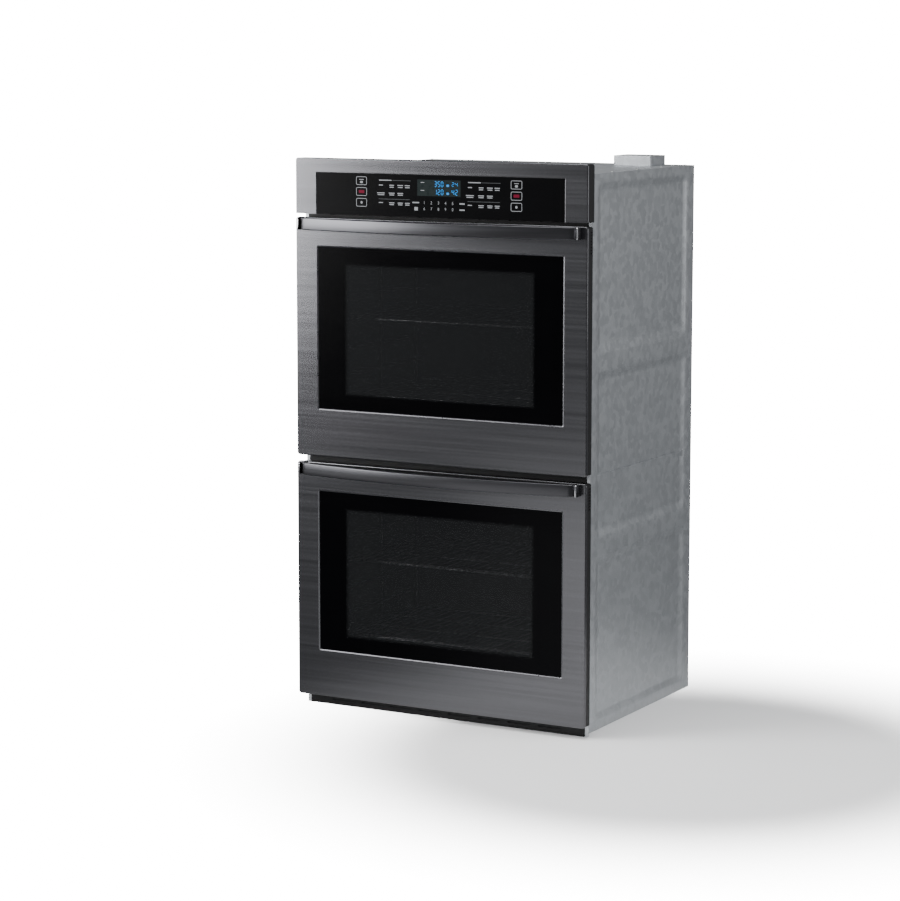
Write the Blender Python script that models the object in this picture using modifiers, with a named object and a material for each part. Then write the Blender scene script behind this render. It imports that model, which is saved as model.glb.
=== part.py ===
"""A built-in double wall oven: one control panel over two ovens with drop-down doors.

Frame: metres, +Z up, the doors face -Y, +X is to the right of someone facing the doors.
The origin is the centre of the base, on the surface that the oven stands on. Most sizes
below are depths, measured back from the plane of the door fronts; at() turns one into Y.
"""

import math

import bmesh
import bpy
from mathutils import Matrix, Vector

# Overall size of a 30-inch double wall oven
OVERALL_WIDTH = 0.757
OVERALL_HEIGHT = 1.297
OVERALL_DEPTH = 0.673
HANDLE_REACH = 0.053  # from the door front to the front of the handle's bow
FRONT_HALF = OVERALL_WIDTH / 2
BACK = OVERALL_DEPTH - HANDLE_REACH  # depth of the outside of the rear panel

SHEET = 0.0012  # pressed and folded steel
GAP = 0.0003  # between pieces that touch
PRESS_RADIUS = 0.007  # corners of the visible steel

# Body that slides into the cabinet, and the flange that stops against the cabinet's face
BODY_HALF = 0.358
BODY_TOP = 1.272
FLANGE_HALF = 0.372
FLANGE_FRONT = 0.0338
INSIDE_HALF = BODY_HALF - SHEET - 0.0005
INSIDE_FRONT = 0.036
INSIDE_BACK = 0.6175
TRIM_FRONT = 0.0322
TRIM_HALF = 0.363
TRIM_SLOTS = 8
SCREW_X = 0.366
SCREW_HEIGHTS = (0.10, 0.64, 1.20)

# Doors, which are alike; heights in a door are measured up from its lower edge
DOOR_HEIGHT = 0.5595
LOWER_DOOR = 0.026
UPPER_DOOR = 0.600
PANEL_BOTTOM = 1.1675
WINDOW_HALF = 0.321
WINDOW = (0.110, 0.494)
WINDOW_RADIUS = 0.005
SKIN_RETURN = 0.008
FRAME_HALF = 0.3765
FRAME = (0.002, 0.5575)
FRAME_DEPTHS = (0.0028, 0.0268)
PAN_FRONT = 0.0283
PAN_RAISED = 0.0393
CHAMFER = 0.0015
HINGE_DEPTH = 0.018
HINGE_RISE = 0.006
HINGE_X = 0.300
DOOR_OPEN = 90.0
HANDLE_HALF = 0.363
HANDLE_SPAN = (0.5305, 0.5585)
HANDLE_END_REACH = 0.018
HANDLE_THICKNESS = 0.012
HANDLE_FOOT = 0.016

# Oven cavities; heights are measured up from the door's lower edge
FACE = 0.0335
CAVITY_HALF = 0.300
CAVITY = (0.075, 0.505)
CAVITY_BACK = 0.490
FAN_RISE = 0.290
BROIL_RISE = 0.4825
BAKE_RISE = 0.068
ELEMENT_RADIUS = 0.0035
TERMINAL_DEPTH = 0.4875
LAMP = (-0.215, 0.430)
RACK_RISE = {"low": 0.141, "high": 0.322}
RACK_HALF = 0.290
RACK_DEPTHS = (0.065, 0.440)
LATCH_X = 0.050
LATCH_DEPTH = 0.052
LATCH_RISE = 0.533
LATCH_SLOT = (0.528, 0.541)

# Control panel
GLASS_HALF = 0.3213
GLASS = (PANEL_BOTTOM + 0.0005, 1.2633)

# Cooling blower over the upper oven, and the junction box behind it
BLOWER_DEPTH = 0.300
BLOWER_HEIGHT = 1.196
BLOWER_HALF = 0.130
BLOWER_RADIUS = 0.032
BOX = ((0.200, 0.300), (0.500, 0.580))

FINISHES = {  # colour, roughness, metallic
    "dark_steel": ((0.105, 0.107, 0.112), 0.34, 1.0),
    "galvanised": ((0.52, 0.53, 0.54), 0.45, 1.0),
    "enamel": ((0.035, 0.036, 0.040), 0.28, 0.0),
    "black_paint": ((0.018, 0.018, 0.020), 0.45, 0.3),
    "black_plastic": ((0.020, 0.020, 0.022), 0.50, 0.0),
    "glass": ((0.010, 0.010, 0.012), 0.06, 0.0),
    "chrome": ((0.62, 0.62, 0.63), 0.15, 1.0),
    "wool": ((0.62, 0.58, 0.48), 0.95, 0.0),
    "board": ((0.020, 0.110, 0.055), 0.45, 0.0),
}


def at(depth):
    """Y of a depth behind the plane of the door fronts."""
    return depth + HANDLE_REACH - OVERALL_DEPTH / 2


def clear_scene():
    for obj in list(bpy.data.objects):
        bpy.data.objects.remove(obj, do_unlink=True)


def new_collection(name, hidden=False):
    made = bpy.data.collections.new(name)
    bpy.context.scene.collection.children.link(made)
    made.hide_render = hidden
    return made


def dress(obj, finish):
    """Gives the object a Principled material of its own."""
    colour, roughness, metallic = FINISHES[finish]
    made = bpy.data.materials.new(f"{obj.name}_{finish}")
    made.use_nodes = True
    shader = made.node_tree.nodes["Principled BSDF"]
    shader.inputs["Base Color"].default_value = (*colour, 1.0)
    shader.inputs["Roughness"].default_value = roughness
    shader.inputs["Metallic"].default_value = metallic
    obj.data.materials.append(made)


def placed(name, data, finish):
    """A new object: a part with a finish, or a hidden cutter when finish is None."""
    obj = bpy.data.objects.new(name, data)
    if finish:
        PARTS.objects.link(obj)
        dress(obj, finish)
    else:
        CUTTERS.objects.link(obj)
        obj.hide_render = True
        obj.display_type = "WIRE"
    return obj


def mesh_object(name, form, finish):
    mesh = bpy.data.meshes.new(name)
    form.to_mesh(mesh)
    form.free()
    return placed(name, mesh, finish)


def block(name, x, depth, z, finish=None):
    """A box between two values of X, of depth and of Z."""
    form = bmesh.new()
    bmesh.ops.create_cube(form, size=1.0)
    size = Vector((x[1] - x[0], depth[1] - depth[0], z[1] - z[0]))
    bmesh.ops.scale(form, vec=size, verts=form.verts)
    obj = mesh_object(name, form, finish)
    obj.location = (sum(x) / 2, at(sum(depth) / 2), sum(z) / 2)
    return obj


AXIS_TURN = {
    "X": Matrix.Rotation(math.pi / 2, 4, "Y"),
    "Y": Matrix.Rotation(-math.pi / 2, 4, "X"),
    "Z": Matrix.Identity(4),
}


def cylinder(name, centre, radius, length, axis, finish=None, sides=24):
    """A cylinder whose centre is (x, depth, z), lying along a row axis."""
    form = bmesh.new()
    bmesh.ops.create_cone(form, cap_ends=True, segments=sides, radius1=radius, radius2=radius, depth=length)
    bmesh.ops.transform(form, matrix=AXIS_TURN[axis], verts=form.verts)
    obj = mesh_object(name, form, finish)
    obj.location = (centre[0], at(centre[1]), centre[2])
    smooth(obj)
    return obj


def smooth(obj):
    obj.data.shade_smooth()
    obj.data.set_sharp_from_angle(angle=math.radians(40))


def rounded(across, up, radius, steps=3):
    """A rectangle with round corners, anticlockwise from its lower right corner."""
    corners = (
        (across[1] - radius, up[0] + radius, -90),
        (across[1] - radius, up[1] - radius, 0),
        (across[0] + radius, up[1] - radius, 90),
        (across[0] + radius, up[0] + radius, 180),
    )
    points = []
    for centre_x, centre_y, start in corners:
        for step in range(steps + 1):
            angle = math.radians(start + 90 * step / steps)
            points.append((centre_x + radius * math.cos(angle), centre_y + radius * math.sin(angle)))
    return points


def span(half):
    return (-half, half)


def raised(base, heights):
    """Heights in a door or cavity, from its lower edge, as heights in the whole oven."""
    return tuple(base + height for height in heights)


def pressed(name, loops, facing, finish, thickness=SHEET, capped=False):
    """A pressed pan: outlines of (points, level) joined in turn, then given a sheet's thickness.

    Facing "front", the points are (x, z) and the level is a depth. Facing "up", they are
    (x, depth) and the level is a height. The thickness is laid behind the outlines, on the
    side away from the viewer of a front or from above, or before them if it is negative.
    """
    form = bmesh.new()
    rings = []
    for points, level in loops:
        if facing == "front":
            rings.append([form.verts.new((x, at(level), z)) for x, z in points])
        else:
            rings.append([form.verts.new((x, at(depth), level)) for x, depth in points])
    for outer, inner in zip(rings, rings[1:]):
        count = len(outer)
        for i in range(count):
            after = (i + 1) % count
            form.faces.new((outer[i], outer[after], inner[after], inner[i]))
    if capped:
        form.faces.new(rings[-1])
    obj = mesh_object(name, form, finish)
    wall = obj.modifiers.new("Sheet", "SOLIDIFY")
    wall.thickness = thickness
    wall.offset = -1.0
    wall.use_even_offset = True
    wall.use_quality_normals = True
    return obj


OUTLINE_TURN = {
    "front": Matrix(((1, 0, 0, 0), (0, 0, -1, 0), (0, 1, 0, 0), (0, 0, 0, 1))),
    "up": Matrix.Identity(4),
    "side": Matrix(((0, 0, 1, 0), (1, 0, 0, 0), (0, 1, 0, 0), (0, 0, 0, 1))),
}


def outline(name, loops, between, facing, finish=None):
    """Flat outlines, the first one outside and the others holes, given a thickness.

    Facing "front", points are (x, z) and between is two depths; facing "up", points are
    (x, depth) and between is two heights; facing "side", (depth, z) and two values of X.
    """
    curve = bpy.data.curves.new(name, "CURVE")
    curve.dimensions = "2D"
    curve.fill_mode = "BOTH"
    curve.extrude = (between[1] - between[0]) / 2
    for points in loops:
        spline = curve.splines.new("POLY")
        spline.points.add(len(points) - 1)
        for point, (across, up) in zip(spline.points, points):
            if facing == "up":
                up = at(up)
            if facing == "side":
                across = at(across)
            point.co = (across, up, 0.0, 1.0)
        spline.use_cyclic_u = True
    middle = sum(between) / 2
    shift = {"front": (0, at(middle), 0), "up": (0, 0, middle), "side": (middle, 0, 0)}[facing]
    return as_mesh(curve, name, Matrix.Translation(shift) @ OUTLINE_TURN[facing], finish)


def tube(name, points, radius, finish, resolution=1):
    """A bent rod through points (x, depth, z), with closed ends."""
    curve = bpy.data.curves.new(name, "CURVE")
    curve.dimensions = "3D"
    curve.bevel_depth = radius
    curve.bevel_resolution = resolution
    curve.use_fill_caps = True
    spline = curve.splines.new("POLY")
    spline.points.add(len(points) - 1)
    for point, (x, depth, z) in zip(spline.points, points):
        point.co = (x, at(depth), z, 1.0)
    obj = as_mesh(curve, name, Matrix.Identity(4), finish)
    smooth(obj)
    return obj


def as_mesh(curve, name, matrix, finish):
    """The curve's mesh with its caps welded on, as an object at that place."""
    guide = bpy.data.objects.new("guide", curve)
    CUTTERS.objects.link(guide)
    graph = bpy.context.evaluated_depsgraph_get()
    mesh = bpy.data.meshes.new_from_object(guide.evaluated_get(graph))
    bpy.data.objects.remove(guide, do_unlink=True)
    form = bmesh.new()
    form.from_mesh(mesh)
    bmesh.ops.remove_doubles(form, verts=form.verts, dist=0.00001)
    bmesh.ops.recalc_face_normals(form, faces=form.faces)
    form.to_mesh(mesh)
    form.free()
    mesh.name = name
    obj = placed(name, mesh, finish)
    obj.matrix_world = matrix
    return obj


def boolean(obj, tool, operation):
    step = obj.modifiers.new(tool.name, "BOOLEAN")
    step.operation = operation
    step.solver = "EXACT"
    step.object = tool


def cut(obj, *tools):
    for tool in tools:
        boolean(obj, tool, "DIFFERENCE")


def join(obj, *tools):
    for tool in tools:
        boolean(obj, tool, "UNION")


def moving(name, centre, pieces):
    """An empty on a joint's axis, at (x, depth, z), with the pieces that move about it."""
    empty = bpy.data.objects.new(name, None)
    PARTS.objects.link(empty)
    empty.location = (centre[0], at(centre[1]), centre[2])
    bpy.context.view_layer.update()
    for piece in pieces:
        piece.parent = empty
        piece.matrix_parent_inverse = empty.matrix_world.inverted()


# --- Chassis ---------------------------------------------------------------------------


def build_casing():
    """The folded steel body: base, two sides with the mounting flange, shelf, top and back."""
    lid = rounded(span(INSIDE_HALF), (INSIDE_FRONT, INSIDE_BACK), 0.004, 2)
    pressed("base_tray", ((lid, 0.020), (lid, 0.0)), "up", "galvanised", -SHEET, capped=True)
    pressed("top_cover", ((lid, BODY_TOP - 0.018), (lid, BODY_TOP)), "up", "galvanised", capped=True)
    pressed("middle_shelf", ((lid, 0.575), (lid, 0.590)), "up", "galvanised", capped=True)
    back = (rounded(span(INSIDE_HALF), (0.001, BODY_TOP - 0.001), 0.004, 2),)
    outline("rear_panel", back, (BACK - SHEET, BACK), "front", "galvanised")
    for side, name in ((-1, "left"), (1, "right")):
        fold = (
            (side * FLANGE_HALF, FLANGE_FRONT),
            (side * FLANGE_HALF, FLANGE_FRONT + SHEET),
            (side * BODY_HALF, FLANGE_FRONT + SHEET),
            (side * BODY_HALF, BACK),
            (side * (BODY_HALF - SHEET), BACK),
            (side * (BODY_HALF - SHEET), FLANGE_FRONT),
        )
        panel = outline(f"side_panel_{name}", (fold,), (0.0, BODY_TOP), "up", "galvanised")
        for count, height in enumerate(SCREW_HEIGHTS):
            centre = (side * SCREW_X, FLANGE_FRONT, height)
            cut(panel, cylinder(f"screw_hole_{name}_{count}", centre, 0.0025, 0.01, "Y", sides=12))


def slotted_strip(name, z):
    """A black trim strip over the gap below or above a door, with a row of air slots."""
    middle = sum(z) / 2
    slot = (middle - 0.002, middle + 0.002)
    pitch = 2 * (TRIM_HALF - 0.05) / TRIM_SLOTS
    loops = [rounded(span(TRIM_HALF), z, 0.001, 1)]
    for i in range(TRIM_SLOTS):
        centre = (i - (TRIM_SLOTS - 1) / 2) * pitch
        loops.append(rounded((centre - 0.38 * pitch, centre + 0.38 * pitch), slot, 0.001, 1))
    outline(name, loops, (TRIM_FRONT, TRIM_FRONT + SHEET), "front", "black_paint")


def build_trims():
    slotted_strip("bottom_trim", (0.0, 0.0245))
    strip = (rounded(span(TRIM_HALF), (0.5825, 0.6015), 0.001, 1),)
    outline("middle_trim", strip, (TRIM_FRONT, TRIM_FRONT + SHEET), "front", "black_paint")
    slotted_strip("vent_trim", (1.157, 1.1745))


def build_controls():
    """The steel panel surround, the touch glass in it, and the electronics behind."""
    edge = rounded(span(FRONT_HALF), (PANEL_BOTTOM, OVERALL_HEIGHT), 0.003, 2)
    frame = outline("control_frame", (edge,), (0.0, TRIM_FRONT + GAP), "front", "dark_steel")
    inside = FRONT_HALF - SHEET
    under_lip = (PANEL_BOTTOM - 0.01, OVERALL_HEIGHT - SHEET)
    hollow = block("control_hollow", span(inside), (SHEET, 0.05), under_lip)
    opening = block("control_opening", span(0.322), (-0.01, 0.01), (PANEL_BOTTOM - 0.01, 1.264))
    cut(frame, hollow, opening)
    glass_edge = rounded(span(GLASS_HALF), GLASS, 0.001, 2)
    outline("control_glass", (glass_edge,), (0.0006, 0.0046), "front", "glass")
    rim = rounded(span(inside - 0.0008), (PANEL_BOTTOM + 0.001, OVERALL_HEIGHT - 0.002), 0.003, 2)
    sides = ((rim, 0.0318), (rim, 0.0052))
    pressed("control_housing", sides, "front", "black_plastic", 0.002, capped=True)
    board = block("control_board", span(0.165), (0.0100, 0.0116), (1.185, 1.252), "board")
    join(board, block("display_body", (-0.052, 0.060), (0.0076, 0.0110), (1.212, 1.250)))
    join(board, block("transformer", (0.090, 0.130), (0.0110, 0.0290), (1.195, 1.230)))


def build_blower():
    """The cooling fan over the upper oven: a long paddle wheel in a curved duct."""
    steps = 9
    turns = [math.radians(-80 + 260 * i / steps) for i in range(steps + 1)]
    shell = [around_blower(0.044, turn) for turn in turns]
    lining = [around_blower(0.0425, turn) for turn in reversed(turns)]
    outline("blower_housing", (shell + lining,), span(BLOWER_HALF), "side", "galvanised")
    blades = paddles(0.008, BLOWER_RADIUS, 11, 0.0016, (BLOWER_DEPTH, BLOWER_HEIGHT))
    wheel = outline("blower_wheel", (blades,), span(BLOWER_HALF - 0.006), "side", "black_plastic")
    middle = (0.0, BLOWER_DEPTH, BLOWER_HEIGHT)
    for side in (-1, 1):
        place = (side * (BLOWER_HALF - 0.008), BLOWER_DEPTH, BLOWER_HEIGHT)
        join(wheel, cylinder(f"blower_disc_{side}", place, BLOWER_RADIUS + 0.001, 0.002, "X", sides=20))
    join(wheel, cylinder("blower_shaft", middle, 0.004, 2 * BLOWER_HALF + 0.020, "X", sides=12))
    moving("blower_axis", middle, (wheel,))


def around_blower(radius, turn):
    """The (depth, z) of a point on a circle round the blower's shaft."""
    return (BLOWER_DEPTH + radius * math.cos(turn), BLOWER_HEIGHT + radius * math.sin(turn))


def paddles(hub, tip, count, thickness, centre):
    """The outline of a hub with flat blades standing out from it."""
    points = []
    hub_angle = math.asin(thickness / 2 / hub)
    tip_angle = math.asin(thickness / 2 / tip)
    for i in range(count):
        middle = 2 * math.pi * i / count
        for radius, angle in ((hub, -hub_angle), (tip, -tip_angle), (tip, tip_angle), (hub, hub_angle)):
            turned = middle + angle
            across, up = radius * math.cos(turned), radius * math.sin(turned)
            points.append((centre[0] + across, centre[1] + up))
    return points


def build_junction_box():
    """The steel box on top where the house wiring is joined."""
    walls = rounded(*BOX, 0.003, 1)
    loops = ((walls, BODY_TOP + GAP), (walls, BODY_TOP + 0.024))
    box = pressed("junction_box", loops, "up", "galvanised", capped=True)
    hole_centre = (sum(BOX[0]) / 2, BOX[1][1], BODY_TOP + 0.012)
    cut(box, cylinder("conduit_hole", hole_centre, 0.009, 0.02, "Y", sides=16))


# --- One oven: everything fixed behind a door --------------------------------------------


def build_cavity(name, base):
    """The enamelled box with its front flange, its insulation, and the seal round the mouth."""
    flange = rounded(span(0.3555), raised(base, (0.002, 0.556)), 0.003)
    mouth = rounded(span(CAVITY_HALF), raised(base, CAVITY), 0.020)
    loops = ((flange, FACE), (mouth, FACE), (mouth, CAVITY_BACK))
    cavity = pressed(f"{name}_cavity", loops, "front", "enamel", capped=True)
    shaft_centre = (0.0, CAVITY_BACK, base + FAN_RISE)
    shaft_hole = cylinder(f"{name}_shaft_hole", shaft_centre, 0.008, 0.06, "Y", sides=16)
    slot_depths = (0.030, INSIDE_FRONT)
    slot_width = (LATCH_X - 0.010, LATCH_X + 0.020)
    cut(cavity, shaft_hole, latch_slot(name, base, slot_width, slot_depths, "face"))
    for side in (-1, 1):
        cut(cavity, hinge_slot(f"{name}_face_{side}", side, base, 0.006, slot_depths, 0.014))
    lining = rounded(span(CAVITY_HALF + 0.0025), raised(base, (0.062, 0.5075)), 0.020)
    loops = ((lining, INSIDE_FRONT), (lining, CAVITY_BACK + 0.002))
    wrap = pressed(f"{name}_insulation", loops, "front", "wool", 0.020, True)
    cut(wrap, shaft_hole)
    seal_outer = rounded(span(CAVITY_HALF + 0.019), raised(base, (0.056, 0.524)), 0.034)
    seal_inner = rounded(span(CAVITY_HALF + 0.006), raised(base, (0.069, 0.511)), 0.022)
    seal_depths = (FACE - 0.0037, FACE - GAP)
    outline(f"{name}_gasket", (seal_outer, seal_inner), seal_depths, "front", "wool")


def hinge_slot(name, side, base, half, depths, top):
    """A cutter at one hinge, open downwards past the edge that it notches."""
    x = side * HINGE_X
    return block(f"{name}_hinge_slot", (x - half, x + half), depths, (base - 0.010, base + top))


def latch_slot(name, base, x, depths, where):
    """A cutter for the slot that the latch hook passes through."""
    return block(f"{name}_latch_slot_{where}", x, depths, raised(base, LATCH_SLOT))


def build_elements(name, base):
    """The grill element under the roof, and the bake element under the floor."""
    grill = ((0.260, 0.460), (0.260, 0.090), (0.170, 0.090), (0.170, 0.400), (0.080, 0.400), (0.080, 0.090))
    points = [(x, depth, base + BROIL_RISE) for x, depth in mirrored_path(grill)]
    tube(f"{name}_broil_element", points, ELEMENT_RADIUS, "black_paint")
    bake = ((0.220, 0.440), (0.220, 0.120), (0.080, 0.120), (0.080, 0.360))
    points = [(x, depth, base + BAKE_RISE) for x, depth in mirrored_path(bake)]
    tube(f"{name}_bake_element", points, ELEMENT_RADIUS, "black_paint")


def mirrored_path(half):
    """A run that comes in at the back, follows half, crosses the middle, and returns."""
    terminal = 0.030
    right = [(terminal, TERMINAL_DEPTH), (terminal, half[0][1])] + list(half)
    left = [(-x, depth) for x, depth in right]
    return left + right[::-1]


def build_fan(name, base):
    """The convection fan: its guard on the cavity's back wall, wheel, shaft and motor."""
    z = base + FAN_RISE
    rim = rounded(span(0.150), (z - 0.140, z + 0.140), 0.020)
    front = rounded(span(0.138), (z - 0.128, z + 0.128), 0.016)
    loops = ((rim, CAVITY_BACK - SHEET), (front, 0.4525))
    baffle = pressed(f"{name}_fan_baffle", loops, "front", "enamel", capped=True)
    holes = 8
    for i in range(holes):
        angle = 2 * math.pi * i / holes
        place = (0.045 * math.cos(angle), 0.455, z + 0.045 * math.sin(angle))
        cut(baffle, cylinder(f"{name}_intake_{i}", place, 0.013, 0.02, "Y", sides=12))
    blades = paddles(0.012, 0.070, 7, 0.0018, (0.0, z))
    wheel = outline(f"{name}_fan_wheel", (blades,), (0.462, 0.480), "front", "galvanised")
    join(wheel, cylinder(f"{name}_wheel_disc", (0.0, 0.480, z), 0.060, 0.0016, "Y"))
    join(wheel, cylinder(f"{name}_wheel_shaft", (0.0, 0.4855, z), 0.004, 0.053, "Y", sides=12))
    moving(f"{name}_fan_axis", (0.0, 0.470, z), (wheel,))
    motor = cylinder(f"{name}_fan_motor", (0.0, 0.5400, z), 0.034, 0.052, "Y", "galvanised")
    plate = 0.055
    join(motor, block(f"{name}_motor_plate", span(plate), (0.5130, 0.5150), (z - plate, z + plate)))
    lamp = cylinder(f"{name}_lamp_lens", (LAMP[0], 0.4825, base + LAMP[1]), 0.032, 0.0140, "Y", "glass", 20)
    round_over = lamp.modifiers.new("Edge", "BEVEL")
    round_over.width = 0.004
    round_over.segments = 2
    round_over.limit_method = "ANGLE"


def build_fixed_hinges(name, base):
    """Each hinge's arm, with the eye that the door's pin turns in, and the pocket it hooks into."""
    axis_z = base + HINGE_RISE
    for side, hand in ((-1, "left"), (1, "right")):
        x = side * HINGE_X
        arm = block(f"{name}_hinge_arm_{hand}", (x - 0.002, x + 0.002), (HINGE_DEPTH, 0.060),
                    (axis_z - 0.0035, axis_z + 0.0035), "galvanised")
        eye = cylinder(f"{name}_eye_{hand}", (x, HINGE_DEPTH, axis_z), 0.005, 0.004, "X", sides=20)
        pocket = block(f"{name}_pocket_{hand}", (x - 0.010, x + 0.010), (INSIDE_FRONT, 0.085),
                       raised(base, (-0.002, 0.032)))
        join(arm, eye, pocket)
        cut(arm, cylinder(f"{name}_eye_hole_{hand}", (x, HINGE_DEPTH, axis_z), 0.0029, 0.02, "X", sides=16))


def build_latch(name, base):
    """The hook that locks the door shut while the oven cleans itself."""
    x, pivot = LATCH_X, LATCH_DEPTH
    shape = (
        (x - 0.006, pivot + 0.006),
        (x - 0.006, 0.0185),
        (x + 0.016, 0.0185),
        (x + 0.016, 0.0215),
        (x + 0.006, 0.0245),
        (x + 0.006, pivot + 0.006),
    )
    heights = (base + LATCH_RISE, base + LATCH_RISE + 0.003)
    hook = outline(f"{name}_latch_hook", (shape,), heights, "up", "galvanised")
    join(hook, cylinder(f"{name}_latch_pivot", (x, pivot, base + 0.5375), 0.005, 0.015, "Z", sides=16))
    moving(f"{name}_latch_axis", (x, pivot, heights[0]), (hook,))


def build_racks(name, base):
    """Two sliding racks: a border with bars across it."""
    for place, rise in RACK_RISE.items():
        z = base + rise
        loops = [rounded(span(RACK_HALF), RACK_DEPTHS, 0.015)]
        columns, bar = 9, 0.005
        pitch = (2 * RACK_HALF - bar) / columns
        middle = sum(RACK_DEPTHS) / 2
        for i in range(columns):
            low = -RACK_HALF + bar + i * pitch
            across = (low, low + pitch - bar)
            loops.append(rounded(across, (RACK_DEPTHS[0] + 0.007, middle - bar / 2), 0.006, 1))
            loops.append(rounded(across, (middle + bar / 2, RACK_DEPTHS[1] - 0.007), 0.006, 1))
        rack = outline(f"{name}_{place}_rack", loops, (z - 0.003, z + 0.003), "up", "chrome")
        moving(f"{name}_{place}_rack_slide", (0.0, middle, z), (rack,))


# --- Doors -------------------------------------------------------------------------------


def build_door(name, base):
    """One drop-down door: steel skin, two panes, frame, inner pan, handle and hinge brackets."""
    edge = raised(base, (0.0, DOOR_HEIGHT))
    face = (edge[0] + CHAMFER, edge[1] - CHAMFER)
    window = rounded(span(WINDOW_HALF), raised(base, WINDOW), WINDOW_RADIUS)
    skin = pressed(f"{name}_door_skin", (
        (rounded(span(FRONT_HALF), edge, PRESS_RADIUS), SKIN_RETURN),
        (rounded(span(FRONT_HALF), edge, PRESS_RADIUS), CHAMFER),
        (rounded(span(FRONT_HALF - CHAMFER), face, PRESS_RADIUS - CHAMFER), 0.0),
        (window, 0.0),
    ), "front", "dark_steel")
    pane = (rounded(span(0.335), raised(base, (0.096, 0.508)), 0.004, 2),)
    outer_glass = outline(f"{name}_outer_glass", pane, (0.0016, 0.0056), "front", "glass")
    frame_loops = (
        rounded(span(FRAME_HALF), raised(base, FRAME), 0.005),
        rounded(span(0.336), raised(base, (0.0945, 0.5095)), 0.005),
    )
    frame = outline(f"{name}_door_frame", frame_loops, FRAME_DEPTHS, "front", "black_plastic")
    pan = pressed(f"{name}_door_pan", (
        (rounded(span(FRAME_HALF), raised(base, FRAME), 0.005), PAN_FRONT),
        (rounded(span(0.290), raised(base, (0.085, 0.495)), 0.020), PAN_FRONT),
        (rounded(span(0.282), raised(base, (0.093, 0.487)), 0.016), PAN_RAISED),
        (rounded(span(0.262), raised(base, (0.138, 0.466)), 0.010), PAN_RAISED),
    ), "front", "enamel")
    cut(pan, latch_slot(name, base, (LATCH_X - 0.010, LATCH_X + 0.018), (0.020, 0.033), "pan"))
    cut(frame, latch_slot(name, base, (LATCH_X - 0.014, LATCH_X + 0.032), (0.015, 0.033), "frame"))
    pane = (rounded(span(0.272), raised(base, (0.128, 0.476)), 0.004, 2),)
    inner_glass = outline(f"{name}_inner_glass", pane, (0.0345, 0.0385), "front", "glass")
    pieces = [skin, outer_glass, frame, pan, inner_glass, build_handle(name, base)]
    for side, hand in ((-1, "left"), (1, "right")):
        cut(pan, hinge_slot(f"{name}_pan_{side}", side, base, 0.006, (0.020, 0.035), 0.0135))
        cut(frame, hinge_slot(f"{name}_frame_{side}", side, base, 0.0085, (0.0075, 0.035), 0.0405))
        pieces.append(build_hinge_bracket(name, base, side, hand))
    moving(f"{name}_door_hinge", (0.0, HINGE_DEPTH, base + HINGE_RISE), pieces)


def bow_reach(x):
    """How far the handle's front stands out at X: a parabola, deepest in the middle."""
    return HANDLE_END_REACH + (HANDLE_REACH - HANDLE_END_REACH) * (1 - (x / HANDLE_HALF) ** 2)


def build_handle(name, base):
    """A flat bar bowed out in plan, with its two ends turned back to the door."""
    steps = 16
    inner = HANDLE_HALF - HANDLE_FOOT
    across = [HANDLE_HALF * (2 * i / steps - 1) for i in range(steps + 1)]
    shape = [(x, -bow_reach(x)) for x in across]
    shape.append((HANDLE_HALF, -GAP))
    shape.append((inner, -GAP))
    behind = [inner] + across[-3:1:-1] + [-inner]
    shape += [(x, HANDLE_THICKNESS - bow_reach(x)) for x in behind]
    shape.append((-inner, -GAP))
    shape.append((-HANDLE_HALF, -GAP))
    return outline(f"{name}_handle", (shape,), raised(base, HANDLE_SPAN), "up", "dark_steel")


def build_hinge_bracket(name, base, side, hand):
    """The channel inside the door that holds the hinge pin on both sides of the arm."""
    x = side * HINGE_X
    bracket = block(f"{name}_hinge_bracket_{hand}", (x - 0.008, x + 0.008), (0.008, 0.0262),
                    raised(base, (0.002, 0.040)), "galvanised")
    channel = (x - 0.0045, x + 0.0045)
    cut(bracket, block(f"{name}_channel_{hand}", channel, (0.0105, 0.03), raised(base, (-0.01, 0.05))))
    pin_centre = (x, HINGE_DEPTH, base + HINGE_RISE)
    join(bracket, cylinder(f"{name}_pin_{hand}", pin_centre, 0.0025, 0.014, "X", sides=16))
    return bracket


def main():
    build_casing()
    build_trims()
    build_controls()
    build_blower()
    build_junction_box()
    for name, base in (("upper", UPPER_DOOR), ("lower", LOWER_DOOR)):
        build_cavity(name, base)
        build_elements(name, base)
        build_fan(name, base)
        build_fixed_hinges(name, base)
        build_latch(name, base)
        build_racks(name, base)
        build_door(name, base)


clear_scene()
PARTS = new_collection("double_wall_oven")
CUTTERS = new_collection("cutters", hidden=True)
main()
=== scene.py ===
"""Looks of a built-in double wall oven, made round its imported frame.

Metres, +Z up, the doors face -Y. Every sub-assembly is a class that holds its own sizes,
builds its meshes from grids of points, dresses them and fits them to a body of the frame.
"""

import logging
import math
from dataclasses import dataclass
from enum import Enum

import bmesh
import bpy
import numpy as np
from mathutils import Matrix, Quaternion, Vector


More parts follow.
